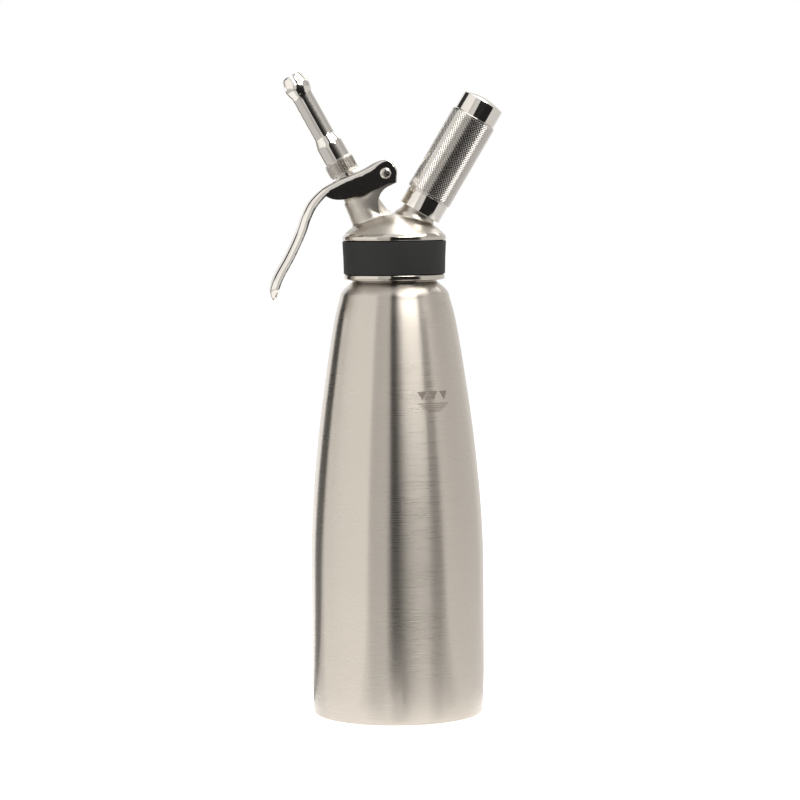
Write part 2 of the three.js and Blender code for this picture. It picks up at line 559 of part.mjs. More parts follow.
// A closed skin over rings of points, each ring with as many points, and flat ends
function loft(positions, rings, sides) {
  const faces = [];
  for (let ring = 0; ring < rings - 1; ring += 1) {
    for (let side = 0; side < sides; side += 1) {
      const a = ring * sides + side;
      const b = ring * sides + (side + 1) % sides;
      faces.push(a, b, b + sides, a, b + sides, a + sides);
    }
  }
  const geometry = new THREE.BufferGeometry();
  for (const ring of [0, rings - 1]) {
    const first = ring * sides;
    const corners = Array.from({ length: sides }, (_, k) => (
      new THREE.Vector3().fromArray(positions, 3 * (first + k))));
    const normal = new THREE.Vector3();
    corners.forEach((corner, k) => normal.add(corner.clone().cross(corners[(k + 1) % sides])));
    normal.normalize();
    const sideways = Math.abs(normal.y) < 0.9 ? new THREE.Vector3(0, 1, 0) : new THREE.Vector3(1, 0, 0);
    const across = new THREE.Vector3().crossVectors(sideways, normal).normalize();
    const down = new THREE.Vector3().crossVectors(normal, across);
    const flat = corners.map((corner) => new THREE.Vector2(corner.dot(across), corner.dot(down)));
    for (const [a, b, c] of THREE.ShapeUtils.triangulateShape(flat, [])) {
      faces.push(...(ring === 0 ? [first + a, first + c, first + b] : [first + a, first + b, first + c]));
    }
  }
  geometry.setAttribute('position', new THREE.Float32BufferAttribute(positions, 3));
  geometry.setIndex(faces);
  return facedOutward(geometry);
}
place('valve_spring', makeSpring(), springSteel, nozzleLine);

// Sleeve nut: the spring lifts its flange, and its round top bears on the lever.
const COLLAR_TOP = LEVER_PLATE_AT - LEVER_SHEET - LEVER_ROCK_ROOM;
place('stem_collar', turned([
  [STEM_RADIUS + FIT_GAP, COLLAR_AT], [COLLAR_FLANGE_RADIUS, COLLAR_AT],
  [COLLAR_FLANGE_RADIUS, COLLAR_AT + COLLAR_FLANGE_THICKNESS],
  [COLLAR_RADIUS, COLLAR_AT + COLLAR_FLANGE_THICKNESS],
  [COLLAR_RADIUS, COLLAR_TOP - 2 * FIT_GAP], [COLLAR_RADIUS - 2 * FIT_GAP, COLLAR_TOP],
  [STEM_RADIUS + FIT_GAP, COLLAR_TOP]], 24), polishedSteel, nozzleLine);

// Hub nut on the piston, with the thread that takes the tip
place('tip_adapter', turned([
  [STEM_RADIUS + FIT_GAP, ADAPTER_FLANGE_AT], [ADAPTER_FLANGE_RADIUS - FIT_GAP, ADAPTER_FLANGE_AT],
  [ADAPTER_FLANGE_RADIUS, ADAPTER_FLANGE_AT + FIT_GAP], [ADAPTER_FLANGE_RADIUS, ADAPTER_AT],
  [ADAPTER_THREAD_RADIUS, ADAPTER_AT], [ADAPTER_THREAD_RADIUS, ADAPTER_TOP],
  [STEM_RADIUS + FIT_GAP, ADAPTER_TOP]], 28), polishedSteel, nozzleLine);

// Tip: a knurled ring with the inner thread, and a tube that swells to a slotted tulip
const RING_BORE = ADAPTER_THREAD_RADIUS + FIT_GAP;
const RING_TOP = TIP_RING_AT + TIP_RING_HEIGHT;
const TIP_SEAL_BOTTOM = ADAPTER_TOP + FIT_GAP;
const TIP_SEAL_TOP = TIP_SEAL_BOTTOM + TIP_SEAL_THICKNESS;
place('tip_seal', tube(
  STEM_BORE_RADIUS + FIT_GAP, ADAPTER_THREAD_RADIUS - FIT_GAP, TIP_SEAL_BOTTOM, TIP_SEAL_TOP, 24),
redSilicone, nozzleLine);

function makeTipRing() {
  const edge = TIP_RING_HEIGHT / 8;
  const plain = tube(RING_BORE, TIP_RING_RADIUS - TIP_RING_RIDGE_DEPTH, TIP_RING_AT, RING_TOP, 32);
  const shape = new THREE.Shape(Array.from({ length: 2 * TIP_RING_RIDGES }, (_, i) => {
    const angle = Math.PI * i / TIP_RING_RIDGES;
    const radius = TIP_RING_RADIUS - (i % 2 ? TIP_RING_RIDGE_DEPTH : 0);
    return new THREE.Vector2(radius * Math.cos(angle), radius * Math.sin(angle));
  }));
  const ridges = new THREE.ExtrudeGeometry(shape, { depth: TIP_RING_HEIGHT - 2 * edge, bevelEnabled: false })
    .translate(0, 0, TIP_RING_AT + edge);
  const bore = rod(RING_BORE, TIP_RING_AT - CUT_OVERRUN, RING_TOP + CUT_OVERRUN, 32);
  return joined(plain, cut(ridges, bore));
}
place('tip_ring', makeTipRing(), knurledSteel, nozzleLine);

// The tip's outline: shares of the way in and up its taper, then of the bulb's radius and the way up to
// its widest place, and from there to the mouth
const TIP_BASE_TOP_SHARE = 0.985;
const TIP_TAPER_SHARES = [[1 / 3, 0.3], [4 / 5, 0.7]];
const BULB_SWELL_SHARE = 2 / 5;
const BULB_BELOW_SHARES = [[0.98, 3 / 4], [1, 1]];
const BULB_ABOVE_SHARES = [[0.97, 1 / 4], [0.88, 1 / 2]];
const MOUTH_RADIUS_SHARE = 0.95;
const MOUTH_HEIGHT_SHARE = 5 / 6;

function makeTip() {
  const spigot = RING_BORE - FIT_GAP;
  const base = RING_TOP + FIT_GAP;
  const end = RING_TOP + TIP_LENGTH;
  const baseTop = base + TIP_BASE_HEIGHT;
  const shaft = baseTop + TIP_TAPER_LENGTH;
  const bulb = end - TIP_BULB_DROP;
  const bulbFoot = end - TIP_BULB_LENGTH;
  const outside = [
    [spigot, TIP_SEAL_TOP + FIT_GAP], [spigot, base], [TIP_BASE_RADIUS, base],
    [TIP_BASE_RADIUS * TIP_BASE_TOP_SHARE, baseTop],
    ...TIP_TAPER_SHARES.map(([inward, up]) => [
      THREE.MathUtils.lerp(TIP_BASE_RADIUS, TIP_SHAFT_RADIUS, inward), baseTop + TIP_TAPER_LENGTH * up]),
    [TIP_SHAFT_RADIUS, shaft], [TIP_SHAFT_RADIUS, bulbFoot],
    [(TIP_SHAFT_RADIUS + TIP_BULB_RADIUS) / 2, THREE.MathUtils.lerp(bulbFoot, bulb, BULB_SWELL_SHARE)],
    ...BULB_BELOW_SHARES.map(([out, up]) => [
      TIP_BULB_RADIUS * out, THREE.MathUtils.lerp(bulbFoot, bulb, up)]),
    ...BULB_ABOVE_SHARES.map(([out, up]) => [TIP_BULB_RADIUS * out, THREE.MathUtils.lerp(bulb, end, up)]),
    [(TIP_BULB_RADIUS + TIP_MOUTH_RADIUS) / 2 * MOUTH_RADIUS_SHARE,
      THREE.MathUtils.lerp(bulb, end, MOUTH_HEIGHT_SHARE)],
    [TIP_MOUTH_RADIUS, end],
  ];
  const inside = outside.slice(4).reverse().map(([radius, height]) => [radius - TIP_WALL, height]);
  const tip = turned([
    ...outside, ...inside, [spigot - TIP_WALL * 2, base], [spigot - TIP_WALL * 2, outside[0][1]]], 20);
  const reach = TIP_BULB_RADIUS + CUT_OVERRUN;
  const slots = Array.from({ length: TIP_SLOTS / 2 }, (_, i) =>
    new THREE.BoxGeometry(2 * reach, TIP_SLOT_WIDTH, 2 * TIP_SLOT_DEPTH)
      .rotateZ((i + 0.5) * 2 * Math.PI / TIP_SLOTS).translate(0, 0, end));
  return cut(tip, ...slots);
}
place('decorator_tip', makeTip(), polishedSteel, nozzleLine);

// Charger line: the pin opens the charger, the seal closes round its neck, and the umbrella valve
// lets the gas into the bottle and not back.
const SEAL_INNER = CHARGER_HOLE_RADIUS + FIT_GAP;
place('charger_seal', tube(SEAL_INNER, CHARGER_NECK_RADIUS, BUSH_TOP + FIT_GAP, CHARGER_SEAL_TOP, 24),
  blackSilicone, chargerLine);
const PIN_BASE_SHARE = 0.3;
const PIN_POINT_SHARE = 1.2;
const CHECK_CROWN_SHARE = 0.6;
const PIN_BASE = BUSH_BOTTOM + BUSH_LENGTH * PIN_BASE_SHARE;
place('pin_bush', turned([
  [PIN_BORE_RADIUS + FIT_GAP, BUSH_BOTTOM], [BUSH_RADIUS, BUSH_BOTTOM], [BUSH_RADIUS, BUSH_TOP],
  [PIN_RADIUS + FIT_GAP, BUSH_TOP], [PIN_RADIUS + FIT_GAP, PIN_BASE + FIT_GAP + PIN_RADIUS],
  [PIN_FLANGE_RADIUS + FIT_GAP, PIN_BASE + FIT_GAP + PIN_RADIUS],
  [PIN_FLANGE_RADIUS + FIT_GAP, PIN_BASE - FIT_GAP],
  [PIN_BORE_RADIUS + FIT_GAP, PIN_BASE - FIT_GAP]], 16), polishedSteel, chargerLine);
place('piercing_pin', turned([
  [PIN_BORE_RADIUS, PIN_BASE], [PIN_FLANGE_RADIUS, PIN_BASE], [PIN_FLANGE_RADIUS, PIN_BASE + PIN_RADIUS],
  [PIN_RADIUS, PIN_BASE + PIN_RADIUS], [PIN_RADIUS, CHARGER_AT + PIN_REACH - 2 * PIN_RADIUS],
  [PIN_BORE_RADIUS * PIN_POINT_SHARE, CHARGER_AT + PIN_REACH],
  [PIN_BORE_RADIUS, CHARGER_AT + PIN_REACH]], 16),
  polishedSteel, chargerLine);
place('check_valve', turned([
  [0, CHECK_SEAT_AT - FIT_GAP - CHECK_DISC_THICKNESS],
  [CHECK_DISC_RADIUS * CHECK_CROWN_SHARE, CHECK_SEAT_AT - FIT_GAP - CHECK_DISC_THICKNESS],
  [CHECK_DISC_RADIUS, CHECK_SEAT_AT - FIT_GAP - CHECK_DISC_THICKNESS / 3],
  [CHECK_DISC_RADIUS, CHECK_SEAT_AT - FIT_GAP], [GAS_CHANNEL_RADIUS - FIT_GAP, CHECK_SEAT_AT - FIT_GAP],
  [GAS_CHANNEL_RADIUS - FIT_GAP, CHECK_SEAT_AT + CHECK_STALK_LENGTH],
  [0, CHECK_SEAT_AT + CHECK_STALK_LENGTH]], 16),
  redSilicone, chargerLine);

function makeCharger() {
  const neckTop = CHARGER_AT + CHARGER_NECK_LENGTH;
  const shoulderTop = neckTop + CHARGER_SHOULDER;
  const end = CHARGER_AT + CHARGER_LENGTH;
  const neckEdge = CHARGER_NECK_RADIUS - FIT_GAP;
  const bottom = arc(0, end - CHARGER_RADIUS, CHARGER_RADIUS, 0, Math.PI / 2, 4).slice(0, -1);
  const cavity = arc(0, end - CHARGER_RADIUS, CHARGER_RADIUS - CHARGER_WALL, 0, Math.PI / 2, 3).slice(0, -1);
  return turned([
    [0, end], ...bottom.reverse(), [CHARGER_RADIUS, shoulderTop],
    [(CHARGER_RADIUS + CHARGER_NECK_RADIUS) / 2, neckTop + CHARGER_SHOULDER / 4],
    [CHARGER_NECK_RADIUS, neckTop],
    [CHARGER_NECK_RADIUS, CHARGER_AT + FIT_GAP], [neckEdge, CHARGER_AT], [CHARGER_HOLE_RADIUS, CHARGER_AT],
    [CHARGER_HOLE_RADIUS, CHARGER_AT + CHARGER_WALL * 2],
    [CHARGER_NECK_RADIUS - CHARGER_WALL, CHARGER_AT + CHARGER_WALL * 3],
    [CHARGER_NECK_RADIUS - CHARGER_WALL, neckTop],
    [CHARGER_RADIUS - CHARGER_WALL, shoulderTop + CHARGER_WALL],
    ...cavity, [0, end - CHARGER_WALL]], 24);
}
place('gas_charger', makeCharger(), satinSteel, chargerLine);

const HOLDER_BORE = CHARGER_RADIUS + 2 * FIT_GAP;
const SLEEVE_AT = HOLDER_AT + COLLAR_RING_HEIGHT;
const CAP_AT = CHARGER_AT + CHARGER_LENGTH - CHARGER_REACH_INTO_CAP;
const CORE_RADIUS = SLEEVE_RADIUS - SLEEVE_WALL - FIT_GAP;
const SPIGOT_TOP = CAP_AT + CAP_SPIGOT_LENGTH;
place('holder_core', turned([
  [HOLDER_BORE, HOLDER_AT], [COLLAR_RING_RADIUS - CAP_EDGE_ROUND / 2, HOLDER_AT],
  [COLLAR_RING_RADIUS, HOLDER_AT + CAP_EDGE_ROUND / 2], [COLLAR_RING_RADIUS, SLEEVE_AT],
  [CORE_RADIUS, SLEEVE_AT], [CORE_RADIUS, CAP_AT - FIT_GAP], [CAP_SPIGOT_RADIUS, CAP_AT - FIT_GAP],
  [CAP_SPIGOT_RADIUS, SPIGOT_TOP], [HOLDER_BORE, SPIGOT_TOP]], 24), polishedSteel, chargerLine);
place('holder_sleeve', turned([
  [SLEEVE_RADIUS - SLEEVE_WALL, SLEEVE_AT + FIT_GAP],
  [SLEEVE_RADIUS - CAP_EDGE_ROUND / 2, SLEEVE_AT + FIT_GAP],
  [SLEEVE_RADIUS, SLEEVE_AT + FIT_GAP + CAP_EDGE_ROUND / 2],
  [SLEEVE_RADIUS, CAP_AT - FIT_GAP - CAP_EDGE_ROUND / 2],
  [SLEEVE_RADIUS - CAP_EDGE_ROUND / 2, CAP_AT - FIT_GAP],
  [SLEEVE_RADIUS - SLEEVE_WALL, CAP_AT - FIT_GAP]], 32),
  knurledSteel, chargerLine);

function makeHolderCap() {
  const bore = CAP_SPIGOT_RADIUS + FIT_GAP;
  const floor = CHARGER_AT + CHARGER_LENGTH + FIT_GAP;
  const edge = CAP_AT + CAP_HEIGHT - CAP_EDGE_ROUND;
  return turned([
    [0, floor], [HOLDER_BORE, floor], [HOLDER_BORE, SPIGOT_TOP + FIT_GAP], [bore, SPIGOT_TOP + FIT_GAP],
    [bore, CAP_AT], [CAP_RADIUS, CAP_AT], [CAP_RADIUS, edge],
    [CAP_RADIUS - CAP_EDGE_ROUND, edge + CAP_EDGE_ROUND],
    ...crownArc(CAP_RADIUS - 2 * CAP_EDGE_ROUND, edge + CAP_EDGE_ROUND, CAP_CROWN, 3)], 24);
}
place('holder_cap', makeHolderCap(), polishedSteel, chargerLine);

// Lever: one pressed and polished channel. Its back is a crowned strip that wraps round the pivot,
// runs over the neck and bends down into the handle. Two cheeks carry the pivot screw.
const smooth = (value) => THREE.MathUtils.smoothstep(value, 0, 1);

// Direction from the back towards the inside of the bend
function inwardAt(share) {
  const along = backCurve.getTangentAt(share);
  return new THREE.Vector3(along.z, 0, -along.x).negate();
}

// Shares of the strip's length where it turns into the handle, narrows, flattens and rounds off, and
// shares of its half width
const HANDLE_LEAD_SHARE = 0.06;
const HANDLE_RUN_SHARE = 0.18;
const NARROW_START_SHARE = 0.35;
const NARROW_RUN_SHARE = 0.5;
const FLAT_START_SHARE = 0.92;
const ROUND_START_SHARE = 0.93;
const ROUND_RUN_SHARE = 0.074;
const BEND_LIMIT_SHARE = 0.6;
const BACK_WIDTH_SHARES = [0.66, 0.33];

// The strip's section at a share of its length: crowned back, bent edges, lips and an even wall
function stripSection(share) {
  const handle = smooth((share - CHEEK_END_SHARE + HANDLE_LEAD_SHARE) / HANDLE_RUN_SHARE);
  const toTip = smooth((share - FLAT_START_SHARE) / (1 - FLAT_START_SHARE));
  const pastRound = THREE.MathUtils.clamp((share - ROUND_START_SHARE) / ROUND_RUN_SHARE, 0, 1);
  const rounding = Math.sqrt(1 - pastRound ** 2);
  const narrowing = smooth((share - NARROW_START_SHARE) / NARROW_RUN_SHARE);
  const width = THREE.MathUtils.lerp(LEVER_HALF_WIDTH, LEVER_TIP_WIDTH / 2, narrowing) * rounding;
  const crown = HANDLE_CROWN * handle * (1 - toTip);
  const bend = Math.min(LEVER_BEND, width * BEND_LIMIT_SHARE);
  const lipDepth = THREE.MathUtils.lerp(LEVER_BEND + LEVER_LIP, HANDLE_DEPTH, handle);
  const depth = Math.max(THREE.MathUtils.lerp(lipDepth, LEVER_SHEET, toTip), crown + bend + LEVER_SHEET / 4);
  const half = (inset) => {
    const edge = arc(width - bend, crown + bend, bend - inset, 0, -Math.PI / 2, 3);
    const back = BACK_WIDTH_SHARES.map((part) => [(width - bend) * part, crown * part ** 2 + inset]);
    return [[width - inset, depth], ...edge, ...back];
  };
  const mirrored = (points) => points.map(([y, d]) => [-y, d]).reverse();
  const outer = half(0);
  const wall = Math.min(LEVER_SHEET, bend / 2);
  const inner = half(wall);
  return [...outer, [0, 0], ...mirrored(outer), ...mirrored(inner).reverse(),
    [0, wall], ...[...inner].reverse()];
}

function leverStrip() {
  const positions = [];
  let sides = 0;
  for (let station = 0; station <= LEVER_STATIONS; station += 1) {
    const share = station / LEVER_STATIONS;
    const origin = backCurve.getPointAt(share);
    const inward = inwardAt(share);
    const section = stripSection(share);
    sides = section.length;
    for (const [y, d] of section) positions.push(origin.x + inward.x * d, y, origin.z + inward.z * d);
  }
  return loft(positions, LEVER_STATIONS + 1, sides);
}

// One cheek's outline: under the strip's bent edge above, and its own curve below
function cheekOutline() {
  const above = Array.from({ length: 13 }, (_, i) => {
    const share = CHEEK_END_SHARE * i / 12;
    const inward = inwardAt(share);
    return backCurve.getPointAt(share).addScaledVector(inward, LEVER_BEND);
  });
  const below = new THREE.SplineCurve(CHEEK_X_SHARES.map((share, i) => new THREE.Vector2(
    PIVOT_X + share * LEVER_REACH, PIVOT_Z + CHEEK_Z_SHARES[i] * LEVER_DROP))).getPoints(12);
  return [...above.map(({ x, z }) => [x, z]), ...below.reverse().map(({ x, y }) => [x, y])];
}

const ROOM_SWELL_SHARE = 2;

// The same flat plate, swollen in its own plane so that a cut leaves no skin behind
function wider(geometry) {
  const box = new THREE.Box3().setFromBufferAttribute(geometry.getAttribute('position'));
  const middle = box.getCenter(new THREE.Vector3());
  return geometry.translate(-middle.x, 0, -middle.z)
    .scale(ROOM_SWELL_SHARE, 1, ROOM_SWELL_SHARE).translate(middle.x, 0, middle.z);
}

function makeLever() {
  const full = plateAlongY(cheekOutline(), LEVER_HALF_WIDTH);
  const room = plateAlongY(cheekOutline(), LEVER_HALF_WIDTH - LEVER_SHEET);
  const cheeks = cut(full, wider(room));
  const slotLength = STEM_RADIUS + FIT_GAP + STEM_SLOT_PLAY;
  const slotWidth = STEM_RADIUS + 2 * FIT_GAP;
  const slot = onNozzle(rod(slotWidth, COLLAR_TOP - CUT_OVERRUN / 2, TIP_RING_AT + CUT_OVERRUN, 32)
    .scale(slotLength / slotWidth, 1, 1));
  const screwHole = rod(SCREW_RADIUS + FIT_GAP, -LEVER_WIDTH, LEVER_WIDTH, 16)
    .rotateX(Math.PI / 2).translate(PIVOT_X, 0, PIVOT_Z);
  return cut(joined(leverStrip(), cheeks), slot, screwHole);
}

place('lever', makeLever(), polishedSteel);

// Pivot: a cross-head screw from the near side, with a cap nut on the far side.
// The shares are of the head's or the nut's radius and height.
const SCREW_DOME_SHARES = [[1, 0.45], [0.8, 0.85], [0.4, 1]];
const SCREW_CROSS_SHARE = 1.2;
const NUT_DOME_SHARES = [[0.82, 0.25], [0.82, 0.6], [0.6, 0.88], [0.25, 1]];

function makeScrew() {
  const face = LEVER_HALF_WIDTH + FIT_GAP;
  const headTop = face + SCREW_HEAD_HEIGHT;
  const screw = turned([
    [0, -face - NUT_HEIGHT / 2], [SCREW_RADIUS, -face - NUT_HEIGHT / 2], [SCREW_RADIUS, face],
    [SCREW_HEAD_RADIUS, face],
    ...SCREW_DOME_SHARES.map(([out, up]) => [SCREW_HEAD_RADIUS * out, face + SCREW_HEAD_HEIGHT * up]),
    [0, headTop]], 20);
  const span = SCREW_HEAD_RADIUS * SCREW_CROSS_SHARE;
  const arm = new THREE.BoxGeometry(span, SCREW_CROSS_WIDTH, 2 * SCREW_CROSS_DEPTH);
  const crossed = [arm.clone(), arm.clone().rotateZ(Math.PI / 2)].map((bar) => bar.translate(0, 0, headTop));
  return cut(screw, ...crossed).rotateX(Math.PI / 2).translate(PIVOT_X, 0, PIVOT_Z);
}
place('pivot_screw', makeScrew(), polishedSteel);

function makeNut() {
  const face = LEVER_HALF_WIDTH + FIT_GAP;
  const hex = rod(NUT_RADIUS, face, face + NUT_HEIGHT / 2, 6);
  const dome = turned([
    [0, face + NUT_HEIGHT / 4],
    ...NUT_DOME_SHARES.map(([out, up]) => [NUT_RADIUS * out, face + NUT_HEIGHT * up]),
    [0, face + NUT_HEIGHT]], 18);
  const bore = rod(SCREW_RADIUS + FIT_GAP, 0, face + NUT_HEIGHT / 2 + FIT_GAP, 16);
  return cut(joined(hex, dome), bore).rotateX(-Math.PI / 2).translate(PIVOT_X, 0, PIVOT_Z);
}
place('pivot_nut', makeNut(), polishedSteel);

export default model;
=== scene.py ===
# Whipped cream dispenser: the looks, piece by piece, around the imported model. Metres, +Z up.
import json
import math

import bmesh
import bpy
from mathutils import Matrix, Vector

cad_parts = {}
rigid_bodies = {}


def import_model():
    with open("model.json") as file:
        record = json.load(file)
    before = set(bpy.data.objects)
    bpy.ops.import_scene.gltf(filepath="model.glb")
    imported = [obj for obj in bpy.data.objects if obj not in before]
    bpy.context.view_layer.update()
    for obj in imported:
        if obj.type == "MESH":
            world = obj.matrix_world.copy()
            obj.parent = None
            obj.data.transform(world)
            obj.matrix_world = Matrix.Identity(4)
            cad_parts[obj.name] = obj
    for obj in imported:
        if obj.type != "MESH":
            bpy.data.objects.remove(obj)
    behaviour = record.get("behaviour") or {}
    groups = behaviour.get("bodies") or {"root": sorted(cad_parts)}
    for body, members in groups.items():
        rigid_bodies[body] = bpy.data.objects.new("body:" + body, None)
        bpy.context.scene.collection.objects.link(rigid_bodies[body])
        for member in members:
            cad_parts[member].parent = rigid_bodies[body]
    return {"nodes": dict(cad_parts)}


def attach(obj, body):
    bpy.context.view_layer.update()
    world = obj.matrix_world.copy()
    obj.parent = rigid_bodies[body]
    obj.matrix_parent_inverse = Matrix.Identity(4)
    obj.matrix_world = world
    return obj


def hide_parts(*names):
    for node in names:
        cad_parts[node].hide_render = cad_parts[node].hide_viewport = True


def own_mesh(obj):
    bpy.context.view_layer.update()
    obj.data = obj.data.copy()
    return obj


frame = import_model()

for cad_object in bpy.data.objects:
    cad_object.select_set(False)
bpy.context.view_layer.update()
MM = 0.001

# Camera: a long lens a little above the neck, tipped down and rolled as the photograph is.
camera_data = bpy.data.cameras.new("studio_camera")
camera_data.lens = 137.8
camera_data.sensor_width = 36
camera_data.clip_end = 30
camera = bpy.data.objects.new("studio_camera", camera_data)
bpy.context.scene.collection.objects.link(camera)
CAMERA_PLACE = Vector((2.33 * MM, -1.65, 284.0 * MM))
CAMERA_TIP = math.radians(90 - 3.96)
CAMERA_ROLL = math.radians(-0.55)
camera.matrix_world = (Matrix.Translation(CAMERA_PLACE) @ Matrix.Rotation(CAMERA_TIP, 4, "X")
                       @ Matrix.Rotation(CAMERA_ROLL, 4, "Z"))
bpy.context.scene.camera = camera
bpy.context.scene.view_settings.view_transform = "Standard"

# Studio: a white world that the camera and the metal see, a pale floor, and soft lamps.
# Tall grey cards stand round the set out of the camera's sight. They are what a curved
# steel wall shows as its upright bands.
def link(tree, output, socket):
    tree.links.new(output, socket)


def maths(tree, operation, first, second):
    node = tree.nodes.new("ShaderNodeMath")
    node.operation = operation
    for socket, value in zip(node.inputs, (first, second)):
        if isinstance(value, (int, float)):
            socket.default_value = value
        else:
            link(tree, value, socket)
    return node.outputs[0]


def set_inputs(node, values):
    for socket_name, value in values.items():
        node.inputs[socket_name].default_value = value


def by_sight(tree, unseen, seen, socket):
    """The socket gets one strength for rays that only carry light, and another for those that show it."""
    path = tree.nodes.new("ShaderNodeLightPath")
    mirror = maths(tree, "MAXIMUM", path.outputs["Is Camera Ray"], path.outputs["Is Glossy Ray"])
    strength = tree.nodes.new("ShaderNodeMapRange")
    set_inputs(strength, {"To Min": unseen, "To Max": seen})
    link(tree, maths(tree, "MAXIMUM", mirror, path.outputs["Is Transmission Ray"]), strength.inputs["Value"])
    link(tree, strength.outputs["Result"], socket)


LIGHT_FROM_WORLD = 0.4
world = bpy.data.worlds.new("white_studio")
bpy.context.scene.world = world
world.use_nodes = True
backdrop_light = world.node_tree.nodes["Background"]
set_inputs(backdrop_light, {"Color": (1, 1, 1, 1)})
by_sight(world.node_tree, LIGHT_FROM_WORLD, 1, backdrop_light.inputs["Strength"])


def new_material(name):
    material = bpy.data.materials.new(name)
    material.use_nodes = True
    return material, material.node_tree, material.node_tree.nodes["Principled BSDF"]


def studio_material(name, grey, glow=0):
    material, tree, shader = new_material(name)
    set_inputs(shader, {"Base Color": (grey, grey, grey, 1), "Roughness": 1, "Specular IOR Level": 0,
                        "Emission Color": (1, 0.985, 0.96, 1), "Emission Strength": glow})
    return material, tree, shader


FLOOR_SIZE, FLOOR_DROP = 14, 0.05
FLOOR_GREY, FLOOR_GLOW = 0.93, 0.66
bpy.ops.mesh.primitive_plane_add(size=FLOOR_SIZE, location=(0, 0, -FLOOR_DROP * MM))
floor = bpy.context.active_object
floor.name = "studio_floor"
floor_material, floor_tree, floor_shader = studio_material("pale_floor", FLOOR_GREY)
by_sight(floor_tree, 0, FLOOR_GLOW, floor_shader.inputs["Emission Strength"])
floor.data.materials.append(floor_material)

# Each card spans a range of degrees round the object, from the camera's direction towards +X. A wall
# card stands on a wide circle and has its lowest and highest point, and a floor or ceiling card lies
# flat and has its nearest and farthest. The last two numbers are how bright metal sees its two ends.
WALL_DISTANCE = 2.6
FLOOR_CARD_HEIGHT = 0.0006
WALL_CARDS = {
    "front_dark": (-8.5, 2, 0, 4, 0.02, 0.02), "front_right_low": (2, 55, 0, 0.85, 0.03, 0.03),
    "right_low_dark": (55, 61, 0, 0.85, 0.1, 0.1), "right_first_rise": (2, 26, 0.85, 1.72, 0.02, 0.1),
    "right_rise": (26, 51, 0.85, 1.72, 0.1, 0.42), "right_last_rise": (51, 61, 0.85, 1.9, 0.42, 0.66),
    "near_right_grey": (2, 18, 1.72, 4, 0.1, 6), "right_softbox": (18, 51, 1.72, 3.3, 7.2, 7.2),
    "right_fall_off": (51, 57, 1.9, 3.3, 5, 0.8), "right_dark": (57, 61, 1.9, 3.3, 0.4, 0.4),
    "right_grey": (61, 140, 0, 0.95, 0.78, 0.76), "right_high_grey": (61, 90, 0.95, 3.3, 0.68, 0.54),
    "right_back_high_grey": (90, 140, 0.95, 3.3, 0.54, 0.5),
    "front_grey": (-38, -8.5, 0, 3.3, 0.66, 0.8), "left_bright": (-116, -38, 0, 1.1, 1.15, 1.2),
    "left_high_bright": (-102, -38, 1.1, 3.3, 1.0, 1.1), "back_left_dark": (-140, -116, 0, 1.1, 0.04, 0.04),
    "back_left_high_dark": (-146, -102, 1.1, 3.3, 0.04, 0.04),
    "back_right_grey": (140, 178, 0, 1.6, 0.78, 0.78), "back_right_bright": (140, 178, 1.6, 3.3, 2.6, 2.6),
}
FLOOR_CARDS = {
    "floor_dark": (-12, 64, 0.42, 2.6, 0.02, 0.02), "near_floor_dark": (-12, 4, 0.1, 0.42, 0.1, 0.1),
    "near_floor_rise": (4, 26, 0.07, 0.42, 0.2, 0.75), "near_floor_fall": (26, 64, 0.07, 0.42, 0.75, 0.5),
    "floor_right_grey": (64, 140, 0.07, 0.38, 1.0, 0.92), "far_floor_right": (64, 140, 0.38, 2.6, 0.78, 0.72),
    "floor_front_grey": (-38, -12, 0.07, 0.6, 0.78, 0.78),
    "far_floor_front": (-38, -12, 0.6, 2.6, 0.52, 0.45),
    "floor_left_bright": (-118, -38, 0.07, 0.6, 1.2, 1.2),
    "far_floor_left": (-118, -38, 0.6, 2.6, 0.66, 0.66),
    "floor_back_dark": (-140, -118, 0.06, 2.6, 0.3, 0.3), "floor_back_right": (140, 176, 0.06, 2.6, 0.9, 0.9),
}
CEILING_HEIGHT = 3.3
CEILING_CARDS = {
    "ceiling_softbox": (60, 179, 0.02, 2.6, 4.2, 4.2), "ceiling_grey": (-178, -60, 0.3, 2.6, 0.42, 0.5),
}
CARD_STEP = 4


def place_card(name, start, stop, first_ring, second_ring, brightness):
    """A strip between two rings round the object, with a corner every few degrees. A ring is a distance
    from the middle and a height."""
    steps = max(int((stop - start) / CARD_STEP), 2)
    bpy.ops.mesh.primitive_plane_add(size=1, location=(0, 0, 0))
    card = bpy.context.active_object
    card.name = name
    card.data.clear_geometry()
    corners = []
    for step in range(steps + 1):
        around = math.radians(start + (stop - start) * step / steps)
        for distance, height in (first_ring, second_ring):
            corners.append((distance * math.sin(around), -distance * math.cos(around), height))
    faces = [(2 * i, 2 * i + 1, 2 * i + 3, 2 * i + 2) for i in range(steps)]
    card.data.from_pydata(corners, [], faces)
    material, tree, shader = studio_material(name, 0, brightness[0])
    place = tree.nodes.new("ShaderNodeTexCoord")
    parts = tree.nodes.new("ShaderNodeSeparateXYZ")
    link(tree, place.outputs["Object"], parts.inputs["Vector"])
    angle = maths(tree, "ARCTAN2", parts.outputs["X"], maths(tree, "MULTIPLY", parts.outputs["Y"], -1))
    fade = tree.nodes.new("ShaderNodeMapRange")
    set_inputs(fade, {"From Min": math.radians(start), "From Max": math.radians(stop),
                      "To Min": brightness[0], "To Max": brightness[1]})
    link(tree, angle, fade.inputs["Value"])
    link(tree, fade.outputs["Result"], shader.inputs["Emission Strength"])
    card.data.materials.append(material)
    card.visible_camera = False
    card.visible_shadow = False
    card.visible_diffuse = False


